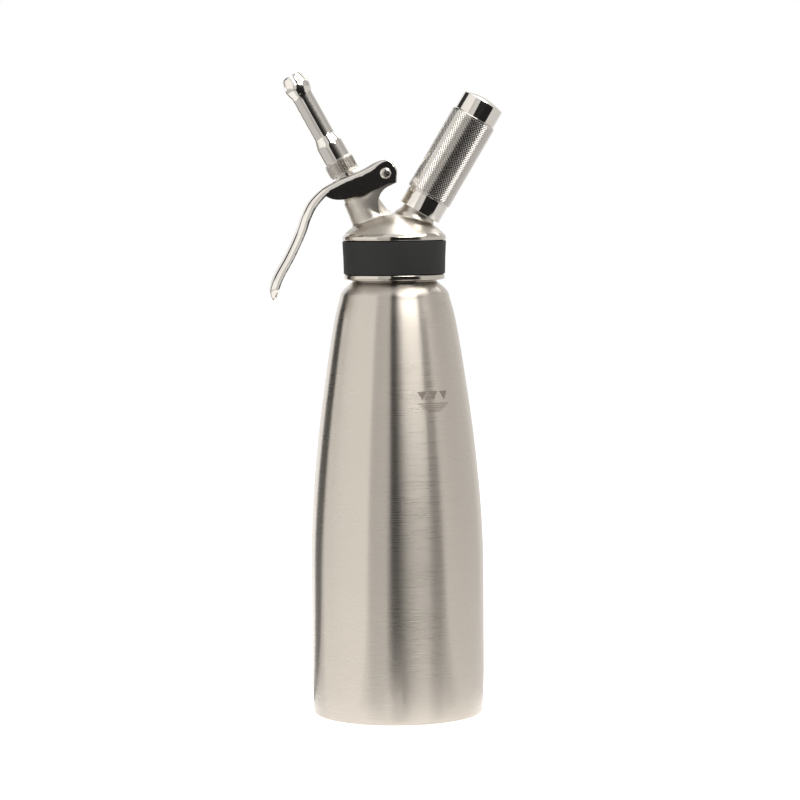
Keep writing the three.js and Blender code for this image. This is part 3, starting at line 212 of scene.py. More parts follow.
for card_name, (start, stop, low, high, *ends) in WALL_CARDS.items():
    place_card(card_name, start, stop, (WALL_DISTANCE, low), (WALL_DISTANCE, high), ends)
for flat_cards, level in ((FLOOR_CARDS, FLOOR_CARD_HEIGHT), (CEILING_CARDS, CEILING_HEIGHT)):
    for card_name, (start, stop, near, far, *ends) in flat_cards.items():
        place_card(card_name, start, stop, (near, level), (far, level), ends)


LIT_MIDDLE = Vector((0, 0, 0.2))


def soft_lamp(name, place, size, power):
    lamp_data = bpy.data.lights.new(name, "AREA")
    lamp_data.shape = "RECTANGLE"
    lamp_data.size, lamp_data.size_y = size
    lamp_data.energy = power
    lamp = bpy.data.objects.new(name, lamp_data)
    lamp.visible_glossy = False
    bpy.context.scene.collection.objects.link(lamp)
    aim = (LIT_MIDDLE - Vector(place)).to_track_quat("-Z", "Y")
    lamp.matrix_world = Matrix.Translation(place) @ aim.to_matrix().to_4x4()


soft_lamp("key_softbox", (0.75, -1.35, 1.15), (0.34, 0.9), 9)
soft_lamp("left_softbox", (-1.7, -0.5, 0.9), (1.1, 1.4), 10)
soft_lamp("top_softbox", (0.1, 0.2, 1.7), (1.2, 1.2), 10)


# Bottle: one litre, deep-drawn stainless steel with a 1 mm wall. It is turned and brushed round,
# and closes over a rounded shoulder into a short neck with a rolled lip and a rolled thread.
def pick(piece):
    """The piece alone is selected, and active."""
    for other in bpy.context.selected_objects:
        other.select_set(False)
    piece.select_set(True)
    bpy.context.view_layer.objects.active = piece


def settle(piece, angle=32):
    """The place goes into the mesh, and faces that meet at less than the angle shade as one."""
    pick(piece)
    bpy.ops.object.transform_apply(location=True, rotation=True, scale=True)
    bpy.ops.object.shade_smooth_by_angle(angle=math.radians(angle))


def edit_all():
    """Edit mode starts, with all of the active piece selected."""
    bpy.ops.object.mode_set(mode="EDIT")
    bpy.ops.mesh.select_all(action="SELECT")


def faces_outward():
    """All faces of the piece in edit mode turn outwards, and edit mode ends."""
    bpy.ops.mesh.select_all(action="SELECT")
    bpy.ops.mesh.normals_make_consistent(inside=False)
    bpy.ops.object.mode_set(mode="OBJECT")


def turned_piece(name, outline, sides=160):
    """A ring added at the outline's first (radius, height) in mm, then extruded and scaled from one
    to the next. The ends close on the axis, or on each other where neither is there."""
    near_axis = 0.004
    points = [(max(radius, near_axis), height) for radius, height in outline]
    if outline[0][0] > 0 or outline[-1][0] > 0:
        points.append(points[0])
    radius, height = points[0]
    bpy.ops.mesh.primitive_circle_add(vertices=sides, radius=radius * MM, location=(0, 0, height * MM))
    piece = bpy.context.active_object
    piece.name = name
    edit_all()
    for next_radius, next_height in points[1:]:
        rise = (next_height - height) * MM
        share = next_radius / radius
        bpy.ops.mesh.extrude_region_move(TRANSFORM_OT_translate={"value": (0, 0, rise)})
        bpy.ops.transform.resize(value=(share, share, 1), center_override=(0, 0, 0))
        radius, height = next_radius, next_height
    bpy.ops.mesh.select_all(action="SELECT")
    bpy.ops.mesh.remove_doubles(threshold=2 * near_axis * MM)
    faces_outward()
    settle(piece)
    return piece


def finish_piece(piece, material, slot, body, *nodes):
    piece.data.materials.clear()
    piece.data.materials.append(material)
    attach(piece, body)
    if nodes:
        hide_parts(*nodes)


def apply_modifier(piece, kind, **settings):
    modifier = piece.modifiers.new(kind.lower(), kind)
    for key, value in settings.items():
        setattr(modifier, key, value)
    pick(piece)
    bpy.ops.object.modifier_apply(modifier=modifier.name)


def corner(centre_radius, centre_height, size, start, stop, steps=6):
    """Points (radius, height) on a rounded corner, by angle in degrees."""
    turns = [math.radians(start + (stop - start) * step / steps) for step in range(steps + 1)]
    return [(centre_radius + size * math.cos(turn), centre_height + size * math.sin(turn)) for turn in turns]


def rounded(radius, height, size, start, steps=4):
    """A quarter round in place of the outline's corner at (radius, height), from the angle start on."""
    return corner(radius - size if start in (-90, 0) else radius + size,
                  height - size if start in (0, 90) else height + size, size, start, start + 90, steps)


def above(base, outline):
    """An outline whose heights are counted from a base."""
    return [(radius, base + height) for radius, height in outline]


def smooth_through(points, steps):
    """More points on a smooth curve through those given."""
    padded = [points[0]] + points + [points[-1]]
    curve = []
    for before, start, stop, after in zip(padded, padded[1:], padded[2:], padded[3:]):
        for step in range(steps):
            share = step / steps
            curve.append(tuple(
                0.5 * (2 * b + (c - a) * share + (2 * a - 5 * b + 4 * c - d) * share ** 2
                       + (3 * b - a - 3 * c + d) * share ** 3)
                for a, b, c, d in zip(before, start, stop, after)))
    return curve + [points[-1]]


def stretched_noise(tree, vector, stretch, detail):
    """Noise with so many waves to a metre along each axis."""
    mapping = tree.nodes.new("ShaderNodeMapping")
    set_inputs(mapping, {"Scale": stretch})
    noise = tree.nodes.new("ShaderNodeTexNoise")
    set_inputs(noise, {"Scale": 1, "Detail": detail})
    link(tree, vector, mapping.inputs["Vector"])
    link(tree, mapping.outputs["Vector"], noise.inputs["Vector"])
    return noise.outputs["Fac"]


def tinted(tree, shader, factor, dark, light):
    """The base colour goes from dark to light as the factor rises."""
    tint = tree.nodes.new("ShaderNodeMix")
    tint.data_type = "RGBA"
    set_inputs(tint, {"A": (*dark, 1), "B": (*light, 1)})
    link(tree, factor, tint.inputs["Factor"])
    link(tree, tint.outputs["Result"], shader.inputs["Base Color"])


def embossed(tree, shader, height, strength, distance):
    relief = tree.nodes.new("ShaderNodeBump")
    set_inputs(relief, {"Strength": strength, "Distance": distance * MM})
    link(tree, height, relief.inputs["Height"])
    link(tree, relief.outputs["Normal"], shader.inputs["Normal"])


# Brushed grain: fine lines round the piece's upright axis, a coarser set among them, and cloudy wear.
GRAIN_LAYERS = {"Lines": ((45, 45, 2600), 2), "Streaks": ((22, 22, 900), 3), "Clouds": ((14, 14, 24), 3)}
brushed_grain = bpy.data.node_groups.new("brushed_grain", "ShaderNodeTree")
brushed_grain.interface.new_socket("Point", in_out="INPUT", socket_type="NodeSocketVector")
for layer in GRAIN_LAYERS:
    brushed_grain.interface.new_socket(layer, in_out="OUTPUT", socket_type="NodeSocketFloat")
grain_in = brushed_grain.nodes.new("NodeGroupInput")
grain_out = brushed_grain.nodes.new("NodeGroupOutput")
for layer, (stretch, detail) in GRAIN_LAYERS.items():
    layer_noise = stretched_noise(brushed_grain, grain_in.outputs["Point"], stretch, detail)
    link(brushed_grain, layer_noise, grain_out.inputs[layer])


def steel(name, colour, roughness, grain, rough_change, tint_change, anisotropy=0, bump=0):
    """A steel finish: brushed lines change the colour and the roughness a little, and the bump."""
    material, tree, shader = new_material(name)
    set_inputs(shader, {"Metallic": 1})
    place = tree.nodes.new("ShaderNodeTexCoord")
    pattern = tree.nodes.new("ShaderNodeGroup")
    pattern.node_tree = brushed_grain
    link(tree, place.outputs["Object"], pattern.inputs["Point"])
    lines, streaks, clouds = (pattern.outputs[key] for key in GRAIN_LAYERS)
    mixed = maths(tree, "ADD", maths(tree, "MULTIPLY", lines, grain),
                  maths(tree, "MULTIPLY", streaks, 1 - grain))
    tinted(tree, shader, mixed, [channel * (1 - 2 * tint_change) for channel in colour],
           [min(channel * (1 + 2 * tint_change), 1) for channel in colour])
    uneven = maths(tree, "MULTIPLY", maths(tree, "SUBTRACT", clouds, 0.5), rough_change)
    lined = maths(tree, "MULTIPLY", maths(tree, "SUBTRACT", mixed, 0.5), rough_change * 2)
    link(tree, maths(tree, "ADD", maths(tree, "ADD", uneven, lined), roughness), shader.inputs["Roughness"])
    if bump:
        embossed(tree, shader, mixed, 1, bump)
    if anisotropy:
        set_inputs(shader, {"Anisotropic": anisotropy, "Anisotropic Rotation": 0.25})
        around = tree.nodes.new("ShaderNodeTangent")
        around.direction_type = "RADIAL"
        around.axis = "Z"
        link(tree, around.outputs["Tangent"], shader.inputs["Tangent"])
    return material


satin_steel = steel("brushed_bottle_steel", (0.62, 0.57, 0.51), 0.29, grain=0.7, rough_change=0.08,
                    tint_change=0.05, anisotropy=1, bump=0.0012)

BOTTLE_RADIUS = 46.7
SHOULDER_RADIUS, SHOULDER_HEIGHT = 29.5, 225.6
SHOULDER_BULGE = 2.6
FOOT_RADIUS, FOOT_ROUND = 45.7, 2
NECK_RADIUS, NECK_START = 22.8, 234
MOUTH_HEIGHT = 251.7
BOTTLE_WALL = 1
LIP, LIP_ROUND, LIP_DEPTH = 2, 0.6, 3.4
SIDE_SHARES = [(0.987, 0.04), (0.996, 0.1), (0.998, 0.2), (1, 0.337), (0.995, 0.416), (0.971, 0.512),
               (0.93, 0.609), (0.878, 0.705), (0.813, 0.801), (0.742, 0.897), (0.688, 0.957)]


def shoulder(inset):
    turns = [math.radians(90 * step / 12) for step in range(13)]
    return [(NECK_RADIUS + (SHOULDER_RADIUS - NECK_RADIUS) * math.cos(turn) ** SHOULDER_BULGE - inset,
             SHOULDER_HEIGHT + (NECK_START - SHOULDER_HEIGHT - inset) * math.sin(turn)) for turn in turns]


side = [(share * BOTTLE_RADIUS, height * SHOULDER_HEIGHT) for share, height in SIDE_SHARES]
foot = corner(FOOT_RADIUS - FOOT_ROUND, FOOT_ROUND, FOOT_ROUND, -90, -8)
outer_wall = smooth_through([foot[-1]] + side + [shoulder(0)[0]], 4)[1:-1]
inner_wall = [(radius - BOTTLE_WALL, height) for radius, height in outer_wall[::3]]
inner_foot = [(radius - BOTTLE_WALL, height + BOTTLE_WALL) for radius, height in foot]
lip_inner = NECK_RADIUS - LIP
bottle_shell = turned_piece("bottle_shell", [
    (0, 0), *foot, *outer_wall, *shoulder(0),
    *rounded(NECK_RADIUS, MOUTH_HEIGHT, LIP_ROUND, 0), *rounded(lip_inner, MOUTH_HEIGHT, LIP_ROUND, 90),
    (lip_inner, MOUTH_HEIGHT - LIP_DEPTH),
    (NECK_RADIUS - BOTTLE_WALL, MOUTH_HEIGHT - LIP_DEPTH - BOTTLE_WALL),
    *shoulder(BOTTLE_WALL)[::-1], *inner_wall[::-1], *inner_foot[::-1], (0, BOTTLE_WALL)], sides=192)
finish_piece(bottle_shell, satin_steel, "satin_steel", "bottle", "bottle")


# Fill mark: a plain level sign etched in the bottle's side, three arrow heads that point down at bars
# that shorten. It is a dull skin that follows the wall and stands 0.02 mm proud.
MARK_AROUND, MARK_REACH = 31, 41
ARROW_RADIUS, ARROW_HEIGHT, ARROW_STEP = 3.2, 175.3, 9.8
BAR_TOP, BAR_PITCH, BAR_THICKNESS = 170.3, 1.02, 0.5
BAR_LENGTHS = (20, 17, 14, 11, 8)
MARK_THICKNESS = 0.04
mark_parts = []


def mark_place(turn, height):
    """A place just off the bottle's side, where the mark's parts are made before they are laid on it."""
    return MARK_REACH * math.sin(turn) * MM, -MARK_REACH * math.cos(turn) * MM, height * MM


for arrow in (-1, 0, 1):
    turn = math.radians(MARK_AROUND + arrow * ARROW_STEP)
    bpy.ops.mesh.primitive_circle_add(
        vertices=3, radius=ARROW_RADIUS * MM, fill_type="NGON", rotation=(math.radians(-90), 0, turn),
        location=mark_place(turn, ARROW_HEIGHT))
    edit_all()
    bpy.ops.mesh.quads_convert_to_tris()
    bpy.ops.mesh.subdivide(number_cuts=4)
    bpy.ops.object.mode_set(mode="OBJECT")
    mark_parts.append(bpy.context.active_object)
turn = math.radians(MARK_AROUND)
for step, bar_length in enumerate(BAR_LENGTHS):
    bpy.ops.mesh.primitive_grid_add(
        x_subdivisions=2 * bar_length, y_subdivisions=2, size=MM, rotation=(math.radians(90), 0, turn),
        location=mark_place(turn, BAR_TOP - BAR_PITCH * step))
    bpy.context.active_object.scale = (bar_length, BAR_THICKNESS, 1)
    mark_parts.append(bpy.context.active_object)
for part in mark_parts:
    part.select_set(True)
bpy.ops.object.join()
fill_mark = bpy.context.active_object
fill_mark.name = "fill_mark"
bpy.ops.object.transform_apply(location=True, rotation=True, scale=True)
apply_modifier(fill_mark, "SHRINKWRAP", target=bottle_shell)
apply_modifier(fill_mark, "SOLIDIFY", thickness=MARK_THICKNESS * MM, offset=0)
bpy.ops.object.mode_set(mode="EDIT")
faces_outward()
etched_steel = steel("etched_steel", (0.35, 0.3, 0.26), 0.6, grain=0.5, rough_change=0.1, tint_change=0.06)
finish_piece(fill_mark, etched_steel, "satin_steel", "bottle")


# Gasket and neck thread. The gasket is a moulded red silicone ring that rides up with the head;
# the thread is rolled into the bottle's neck, one ridge that climbs 4 mm a turn.
def soft_rubber(name, colour, roughness, dust=0.03):
    material, tree, shader = new_material(name)
    set_inputs(shader, {"Specular IOR Level": 0.35})
    place = tree.nodes.new("ShaderNodeTexCoord")
    fine = stretched_noise(tree, place.outputs["Object"], (3800, 3800, 3800), 2)
    broad = stretched_noise(tree, place.outputs["Object"], (70, 70, 25), 4)
    tinted(tree, shader, broad, colour, [channel + dust for channel in colour])
    uneven = maths(tree, "ADD", maths(tree, "MULTIPLY", broad, 0.16), roughness)
    link(tree, uneven, shader.inputs["Roughness"])
    embossed(tree, shader, fine, 0.6, 0.02)
    return material


red_silicone = soft_rubber("red_silicone", (0.33, 0.028, 0.02), 0.42)
GASKET_TOP = 254.7
GASKET_RADIUS, GASKET_BORE = 24.3, 19.8
GASKET_ROUND, GASKET_GAP = 0.5, 0.3
gasket_low, gasket_high = MOUTH_HEIGHT + GASKET_GAP, GASKET_TOP - GASKET_GAP
gasket_ring = turned_piece("gasket_ring", [
    *rounded(GASKET_RADIUS, gasket_low, GASKET_ROUND, -90),
    *rounded(GASKET_RADIUS, gasket_high, GASKET_ROUND, 0),
    *rounded(GASKET_BORE, gasket_high, GASKET_ROUND, 90),
    *rounded(GASKET_BORE, gasket_low, GASKET_ROUND, 180)], sides=96)
finish_piece(gasket_ring, red_silicone, "red_silicone", "gasket", "head_gasket")

THREAD_PITCH, THREAD_TURNS = 4, 2.4
THREAD_START, THREAD_HEIGHT = 238, 0.9
bpy.ops.mesh.primitive_circle_add(vertices=10, radius=THREAD_HEIGHT * MM,
                                  location=((NECK_RADIUS - 0.1) * MM, 0, THREAD_START * MM),
                                  rotation=(math.radians(90), 0, 0), fill_type="NGON")
neck_thread = bpy.context.active_object
neck_thread.name = "neck_thread"
bpy.ops.object.transform_apply(location=True, rotation=True, scale=True)
thread_steps = round(64 * THREAD_TURNS)
apply_modifier(neck_thread, "SCREW", angle=math.radians(360 * THREAD_TURNS), axis="Z",
               screw_offset=THREAD_PITCH * THREAD_TURNS * MM, steps=thread_steps,
               render_steps=thread_steps, use_merge_vertices=True)
edit_all()
bpy.ops.mesh.remove_doubles(threshold=0.001 * MM)
bpy.ops.mesh.select_all(action="DESELECT")
bpy.ops.mesh.select_non_manifold()
bpy.ops.mesh.fill_holes(sides=0)
faces_outward()
settle(neck_thread, 60)
finish_piece(neck_thread, satin_steel, "satin_steel", "bottle")


# Head: cast stainless steel, machined round below and blasted satin above. A leaning neck carries
# the dispensing valve, a stub takes the charger holder, and the lug between them the lever's screw.
NOZZLE_LEAN, NOZZLE_CROSSING = -28.66, 244.56
CHARGER_LEAN, CHARGER_CROSSING = 30.73, 247.93


def lean(piece, angle, crossing):
    """An upright piece is tipped sideways about the point where its line crosses the bottle's axis."""
    piece.rotation_euler = (0, math.radians(angle), 0)
    piece.location = (0, 0, crossing * MM)
    settle(piece)
    return piece


def on_nozzle(piece):
    return lean(piece, NOZZLE_LEAN, NOZZLE_CROSSING)


def on_charger(piece):
    return lean(piece, CHARGER_LEAN, CHARGER_CROSSING)


def plug(name, radius, low, high):
    return turned_piece(name, [(0, low), (radius, low), (radius, high), (0, high)], sides=64)


def combine(piece, other, operation):
    apply_modifier(piece, "BOOLEAN", object=other, operation=operation, solver="EXACT")
    bpy.data.objects.remove(other)


def plate(name, outline, half_width):
    """A flat plate across the lever: an outline of (x, z) in mm, extruded along Y."""
    bpy.ops.mesh.primitive_circle_add(vertices=len(outline), radius=1, fill_type="NGON")
    piece = bpy.context.active_object
    piece.name = name
    for vertex, (x, z) in zip(piece.data.vertices, outline):
        vertex.co = (x * MM, -half_width * MM, z * MM)
    edit_all()
    bpy.ops.mesh.extrude_region_move(TRANSFORM_OT_translate={"value": (0, 2 * half_width * MM, 0)})
    faces_outward()
    return piece


def dome(edge_radius, edge_height, rise, steps=12):
    """Points (radius, height) on a shallow dome, from its edge to the axis."""
    sphere = (edge_radius ** 2 + rise ** 2) / (2 * rise)
    centre = edge_height + rise - sphere
    start = math.degrees(math.asin((edge_height - centre) / sphere))
    return corner(0, centre, sphere, start, 90, steps)[:-1] + [(0, edge_height + rise)]


SKIRT_BOTTOM, SKIRT_BORE, SKIRT_CHAMFER = 234.9, 24.6, 0.4
SHELF_WIDTH, CEILING_RISE = 5.1, 8.5
BEAD_RADIUS, BEAD_LOW_ROUND, BEAD_HIGH_ROUND = 27, 0.5, 0.4
GROOVE_RADIUS = 25.9
BAND_BOTTOM, BAND_TOP = 237.7, 256.0
RIM_RADIUS, RIM_TOP = 27.87, 258.3
RIM_LOW_ROUND, RIM_HIGH_ROUND = 0.3, 0.35
DOME_EDGE, DOME_RISE = 26.27, 10.6
dome_start = RIM_TOP + 1.6
dome_arc = dome(DOME_EDGE, dome_start, DOME_RISE)
ceiling = dome(SKIRT_BORE - SHELF_WIDTH - 0.75, GASKET_TOP + 1.5, CEILING_RISE, 6)
head_casting = turned_piece("head_casting", [
    *ceiling[::-1], (SKIRT_BORE - SHELF_WIDTH, GASKET_TOP), (SKIRT_BORE, GASKET_TOP),
    (SKIRT_BORE, SKIRT_BOTTOM + SKIRT_CHAMFER), (SKIRT_BORE + SKIRT_CHAMFER, SKIRT_BOTTOM),
    *rounded(BEAD_RADIUS, SKIRT_BOTTOM, BEAD_LOW_ROUND, -90),
    *rounded(BEAD_RADIUS, BAND_BOTTOM, BEAD_HIGH_ROUND, 0, 3),
    (GROOVE_RADIUS, BAND_BOTTOM), (GROOVE_RADIUS, BAND_TOP),
    *rounded(RIM_RADIUS, BAND_TOP, RIM_LOW_ROUND, -90, 3),
    *corner(RIM_RADIUS - RIM_HIGH_ROUND, RIM_TOP - RIM_HIGH_ROUND, RIM_HIGH_ROUND, 0, 45, 3),
    *corner(DOME_EDGE - 0.1, dome_start - RIM_HIGH_ROUND, RIM_HIGH_ROUND, 45, 70, 3), *dome_arc[1:]],
    sides=144)

NECK_FOOT, NECK_TOP = 20, 42.9
NECK_SIDE = [(11.2, NECK_FOOT), (11.2, 24.1), (10.3, 26.4), (9.9, 29.2), (9.4, 33), (9.0, 36.4), (8.7, 39.4),
             (8.7, 39.7), (7.8, 40.5), (7.8, NECK_TOP - 0.3), (7.5, NECK_TOP)]
neck_body = on_nozzle(turned_piece("neck_body", [(0, NECK_FOOT), *NECK_SIDE, (0, NECK_TOP)], sides=96))
STUB_FOOT, STUB_TOP = 17.8, 38
STUB_SIDE = [(11.5, STUB_FOOT), (11.5, 21.3), (10.6, 22.6), (10.07, 23.5), (9.5, 25), (9.3, 26), (9.3, 37.5),
             (8.8, STUB_TOP)]
stub_body = on_charger(turned_piece("stub_body", [(0, STUB_FOOT), *STUB_SIDE, (0, STUB_TOP)], sides=96))

PIVOT_X, PIVOT_Z = -4.23, 291.96
PIVOT_PLACE = (PIVOT_X * MM, 0, PIVOT_Z * MM)
LEVER_HALF_WIDTH, LEVER_SHEET = 10.5, 1.2
LUG_HALF_WIDTH = LEVER_HALF_WIDTH - LEVER_SHEET - 0.3
LUG_ROUND, LUG_SHOULDER, LUG_BACK, LUG_DEPTH = 4, 5.6, 11, 27
HOLLOW_X, HOLLOW_Z, HOLLOW_RADIUS = 1.2, 276.4, 9.4
lug_body = plate("lug_body", [
    *corner(PIVOT_X, PIVOT_Z, LUG_ROUND, 155, -38, 12),
    (PIVOT_X + LUG_SHOULDER, PIVOT_Z - 3.2), (PIVOT_X + LUG_SHOULDER, PIVOT_Z - 5.1),
    *corner(HOLLOW_X, HOLLOW_Z, HOLLOW_RADIUS, 115, 255, 22),
    (PIVOT_X, PIVOT_Z - LUG_DEPTH), (PIVOT_X - LUG_BACK, PIVOT_Z - LUG_DEPTH),
    (PIVOT_X - LUG_BACK, PIVOT_Z - LUG_BACK), (PIVOT_X - LUG_SHOULDER, PIVOT_Z - 3.2)], LUG_HALF_WIDTH)
for joined_body in (neck_body, stub_body, lug_body):
    combine(head_casting, joined_body, "UNION")

# Cast blends: the joined bodies become one even skin, which is smoothed where they meet.
VOXEL, KEPT_FACES = 0.36, 0.54
JOIN_PASSES, CREASE_PASSES, LAST_PASSES = 18, 110, 2
JOIN_LINES = ((NOZZLE_LEAN, NOZZLE_CROSSING, 10.2), (CHARGER_LEAN, CHARGER_CROSSING, 10.6))
JOIN_WIDTH, JOIN_LOW, JOIN_HIGH, LUG_FOOT_TOP = 3.4, 18, 30, 275
CREASE_LEFT, CREASE_RIGHT, CREASE_LOW, CREASE_HIGH = -24, -5, 272, 287
CREASE_INNER = 4.5


def off_hollow(x, z):
    return math.hypot(x - HOLLOW_X, z - HOLLOW_Z) - HOLLOW_RADIUS


def at_join(x, y, z):
    """Where the neck, the stub and the lug grow out of the dome."""
    near_join = False
    for angle, crossing, radius in JOIN_LINES:
        turn = math.radians(angle)
        across = x * math.cos(turn) - (z - crossing) * math.sin(turn)
        along = x * math.sin(turn) + (z - crossing) * math.cos(turn)
        beside = abs(math.hypot(across, y) - radius) < JOIN_WIDTH
        near_join = near_join or (beside and JOIN_LOW < along < JOIN_HIGH)
    on_dome = math.hypot(x, y) < DOME_EDGE - 1.5 and z > dome_start - 1
    at_lug = abs(y) < LUG_HALF_WIDTH + 1.2 and off_hollow(x, z) > 0.4 and z < LUG_FOOT_TOP
    return (near_join or at_lug) and on_dome


def at_crease(x, y, z):
    """The crease between the neck and the lug, on both sides."""
    return (abs(y) > CREASE_INNER and off_hollow(x, z) > 0.8 and CREASE_LEFT < x < CREASE_RIGHT
            and CREASE_LOW < z < CREASE_HIGH)


apply_modifier(head_casting, "REMESH", mode="VOXEL", voxel_size=VOXEL * MM)
bpy.ops.object.mode_set(mode="EDIT")
for zone, passes in ((at_join, JOIN_PASSES), (at_crease, CREASE_PASSES)):
    cast_mesh = bmesh.from_edit_mesh(head_casting.data)
    for vertex in cast_mesh.verts:
        vertex.select_set(zone(*(value / MM for value in vertex.co)))
    cast_mesh.select_flush_mode()
    bmesh.update_edit_mesh(head_casting.data)
    bpy.ops.mesh.vertices_smooth(factor=0.5, repeat=passes)
bpy.ops.mesh.select_all(action="SELECT")
bpy.ops.mesh.vertices_smooth(factor=0.5, repeat=LAST_PASSES)
bpy.ops.object.mode_set(mode="OBJECT")
apply_modifier(head_casting, "DECIMATE", ratio=KEPT_FACES)


def pivot_bore():
    """A rod across the head, as wide as the hole that the lever's screw goes through."""
    bpy.ops.mesh.primitive_cylinder_add(vertices=48, radius=1.8 * MM, depth=30 * MM, location=PIVOT_PLACE,
                                        rotation=(math.radians(90), 0, 0))
    return bpy.context.active_object


# Bores by name: radius, lowest and highest point along the nozzle's and along the charger's line
NOZZLE_BORES = {"stem_bore": (4.5, 14, 50), "spring_pocket": (6.6, 31, 50), "seat_bore": (7.4, 14, 20)}
CHARGER_BORES = {"charger_socket": (4.85, 26, 45), "bush_bore": (3.7, 20.4, 27), "gas_bore": (1.8, 10, 21),
                 "check_bore": (3.5, 10, 16.4)}
bores = [on_nozzle(plug(bore_name, *sizes)) for bore_name, sizes in NOZZLE_BORES.items()]
bores += [on_charger(plug(bore_name, *sizes)) for bore_name, sizes in CHARGER_BORES.items()]
for bore in (*bores, pivot_bore()):
    combine(head_casting, bore, "DIFFERENCE")
settle(head_casting, 40)
SKIRT_GLOSS = 0.68
cast_steel = steel("cast_satin_steel", (0.60, 0.56, 0.50), 0.35, grain=0.3, rough_change=0.1,
                   tint_change=0.04, bump=0.002)
cast_tree = cast_steel.node_tree
cast_roughness = cast_tree.nodes["Principled BSDF"].inputs["Roughness"]
cast_place = cast_tree.nodes.new("ShaderNodeTexCoord")
cast_parts = cast_tree.nodes.new("ShaderNodeSeparateXYZ")
link(cast_tree, cast_place.outputs["Object"], cast_parts.inputs["Vector"])
below_dome = maths(cast_tree, "LESS_THAN", cast_parts.outputs["Z"], (dome_start - 0.1) * MM)
satin_part = maths(cast_tree, "SUBTRACT", 1, maths(cast_tree, "MULTIPLY", below_dome, SKIRT_GLOSS))
satin_roughness = cast_roughness.links[0].from_socket
link(cast_tree, maths(cast_tree, "MULTIPLY", satin_roughness, satin_part), cast_roughness)
finish_piece(head_casting, cast_steel, "cast_steel", "head", "head")


# Grip band: a moulded black silicone ring stretched into the head's groove, matt with fine dust.
black_silicone = soft_rubber("black_silicone", (0.012, 0.012, 0.011), 0.6, dust=0.014)
BAND_GAP, BAND_ROUND = 0.3, 0.45
BAND_LOW_RADIUS, BAND_MIDDLE_RADIUS, BAND_HIGH_RADIUS = 27.3, 27.5, 27.9
band_low, band_high = BAND_BOTTOM + BAND_GAP, BAND_TOP - BAND_GAP
grip_ring = turned_piece("grip_ring", [
    (GROOVE_RADIUS + BAND_GAP, band_low), *rounded(BAND_LOW_RADIUS, band_low, BAND_ROUND, -90, 5),
    (BAND_MIDDLE_RADIUS, (band_low + band_high) / 2), *rounded(BAND_HIGH_RADIUS, band_high, BAND_ROUND, 0, 5),
    (GROOVE_RADIUS + BAND_GAP, band_high)], sides=160)
finish_piece(grip_ring, black_silicone, "black_silicone", "head", "grip_band")


# Lever: pressed from 1.2 mm stainless sheet and polished. A crowned strip wraps the pivot, runs over
# the neck and bends down into a hollow handle that closes like a boat's bow; two cheeks hold the screw.
LEVER_REACH, LEVER_DROP = 63.5, 67.8
LEVER_TIP_WIDTH = 16
REAR_RADIUS = 6.3
REAR_BEND, LEVER_BEND, HANDLE_BEND = 0.9, 3.3, 4.3
HANDLE_DEPTH, HANDLE_CROWN = 5.5, 0.9
BACK_SHARES = [(-0.083, 0.089), (-0.211, 0.027), (-0.436, -0.061), (-0.553, -0.121), (-0.657, -0.213),
               (-0.722, -0.33), (-0.766, -0.445), (-0.862, -0.635), (-0.958, -0.795), (-0.998, -0.915),
               (-0.968, -1)]
CHEEK_SHARES = [(0.087, -0.075), (0.047, -0.077), (0.008, -0.086), (-0.049, -0.112), (-0.113, -0.137),
                (-0.178, -0.161), (-0.252, -0.183), (-0.324, -0.199), (-0.38, -0.206), (-0.435, -0.203),
                (-0.475, -0.191), (-0.505, -0.176)]
# Each change of the section: where it starts and how long it takes, as shares of the lever's length
LEVER_BEND_SPAN, HANDLE_BEND_SPAN = (0.1, 0.12), (0.42, 0.28)
HANDLE_SPAN, NARROWING_SPAN, TIP_SPAN, BOW_SPAN = (0.35, 0.18), (0.35, 0.5), (0.92, 0.08), (0.93, 0.074)


def smooth_curve(points, total):
    """Points at even lengths along a smooth curve through those given."""
    dense = smooth_through(points, 24)
    lengths = [0]
    for a, b in zip(dense, dense[1:]):
        lengths.append(lengths[-1] + math.dist(a, b))
    even = []
    index = 0
    for step in range(total + 1):
        target = lengths[-1] * step / total
        while index < len(dense) - 2 and lengths[index + 1] < target:
            index += 1
        span = lengths[index + 1] - lengths[index] or 1
        share = (target - lengths[index]) / span
        even.append(tuple(a + (b - a) * share for a, b in zip(dense[index], dense[index + 1])))
    return even


def part_way(share, start, length):
    return min(max((share - start) / length, 0), 1)


def ease(share, start, length):
    value = part_way(share, start, length)
    return value * value * (3 - 2 * value)


def blend(first, second, share):
    return first + (second - first) * share


LEVER_STATIONS = 120
lever_back = smooth_curve([
    (PIVOT_X + 5.9, PIVOT_Z - 5.1), *corner(PIVOT_X, PIVOT_Z, REAR_RADIUS, -14, 50, 3),
    *corner(PIVOT_X, PIVOT_Z + 0.7, REAR_RADIUS * 1.03, 68, 100, 1),
    *[(PIVOT_X + x * LEVER_REACH, PIVOT_Z + z * LEVER_DROP) for x, z in BACK_SHARES]], LEVER_STATIONS)


def inward_at(station):
    """The direction from the lever's back to the inside of the bend, as (x, z)."""
    before = lever_back[max(station - 1, 0)]
    after = lever_back[min(station + 1, LEVER_STATIONS)]
    length = math.dist(before, after)
    return -(after[1] - before[1]) / length, (after[0] - before[0]) / length


def bend_at(share):
    """The radius of the bent edge: tight at the rear, wider over the neck, widest on the handle."""
    over_neck = blend(REAR_BEND, LEVER_BEND, ease(share, *LEVER_BEND_SPAN))
    return blend(over_neck, HANDLE_BEND, ease(share, *HANDLE_BEND_SPAN))


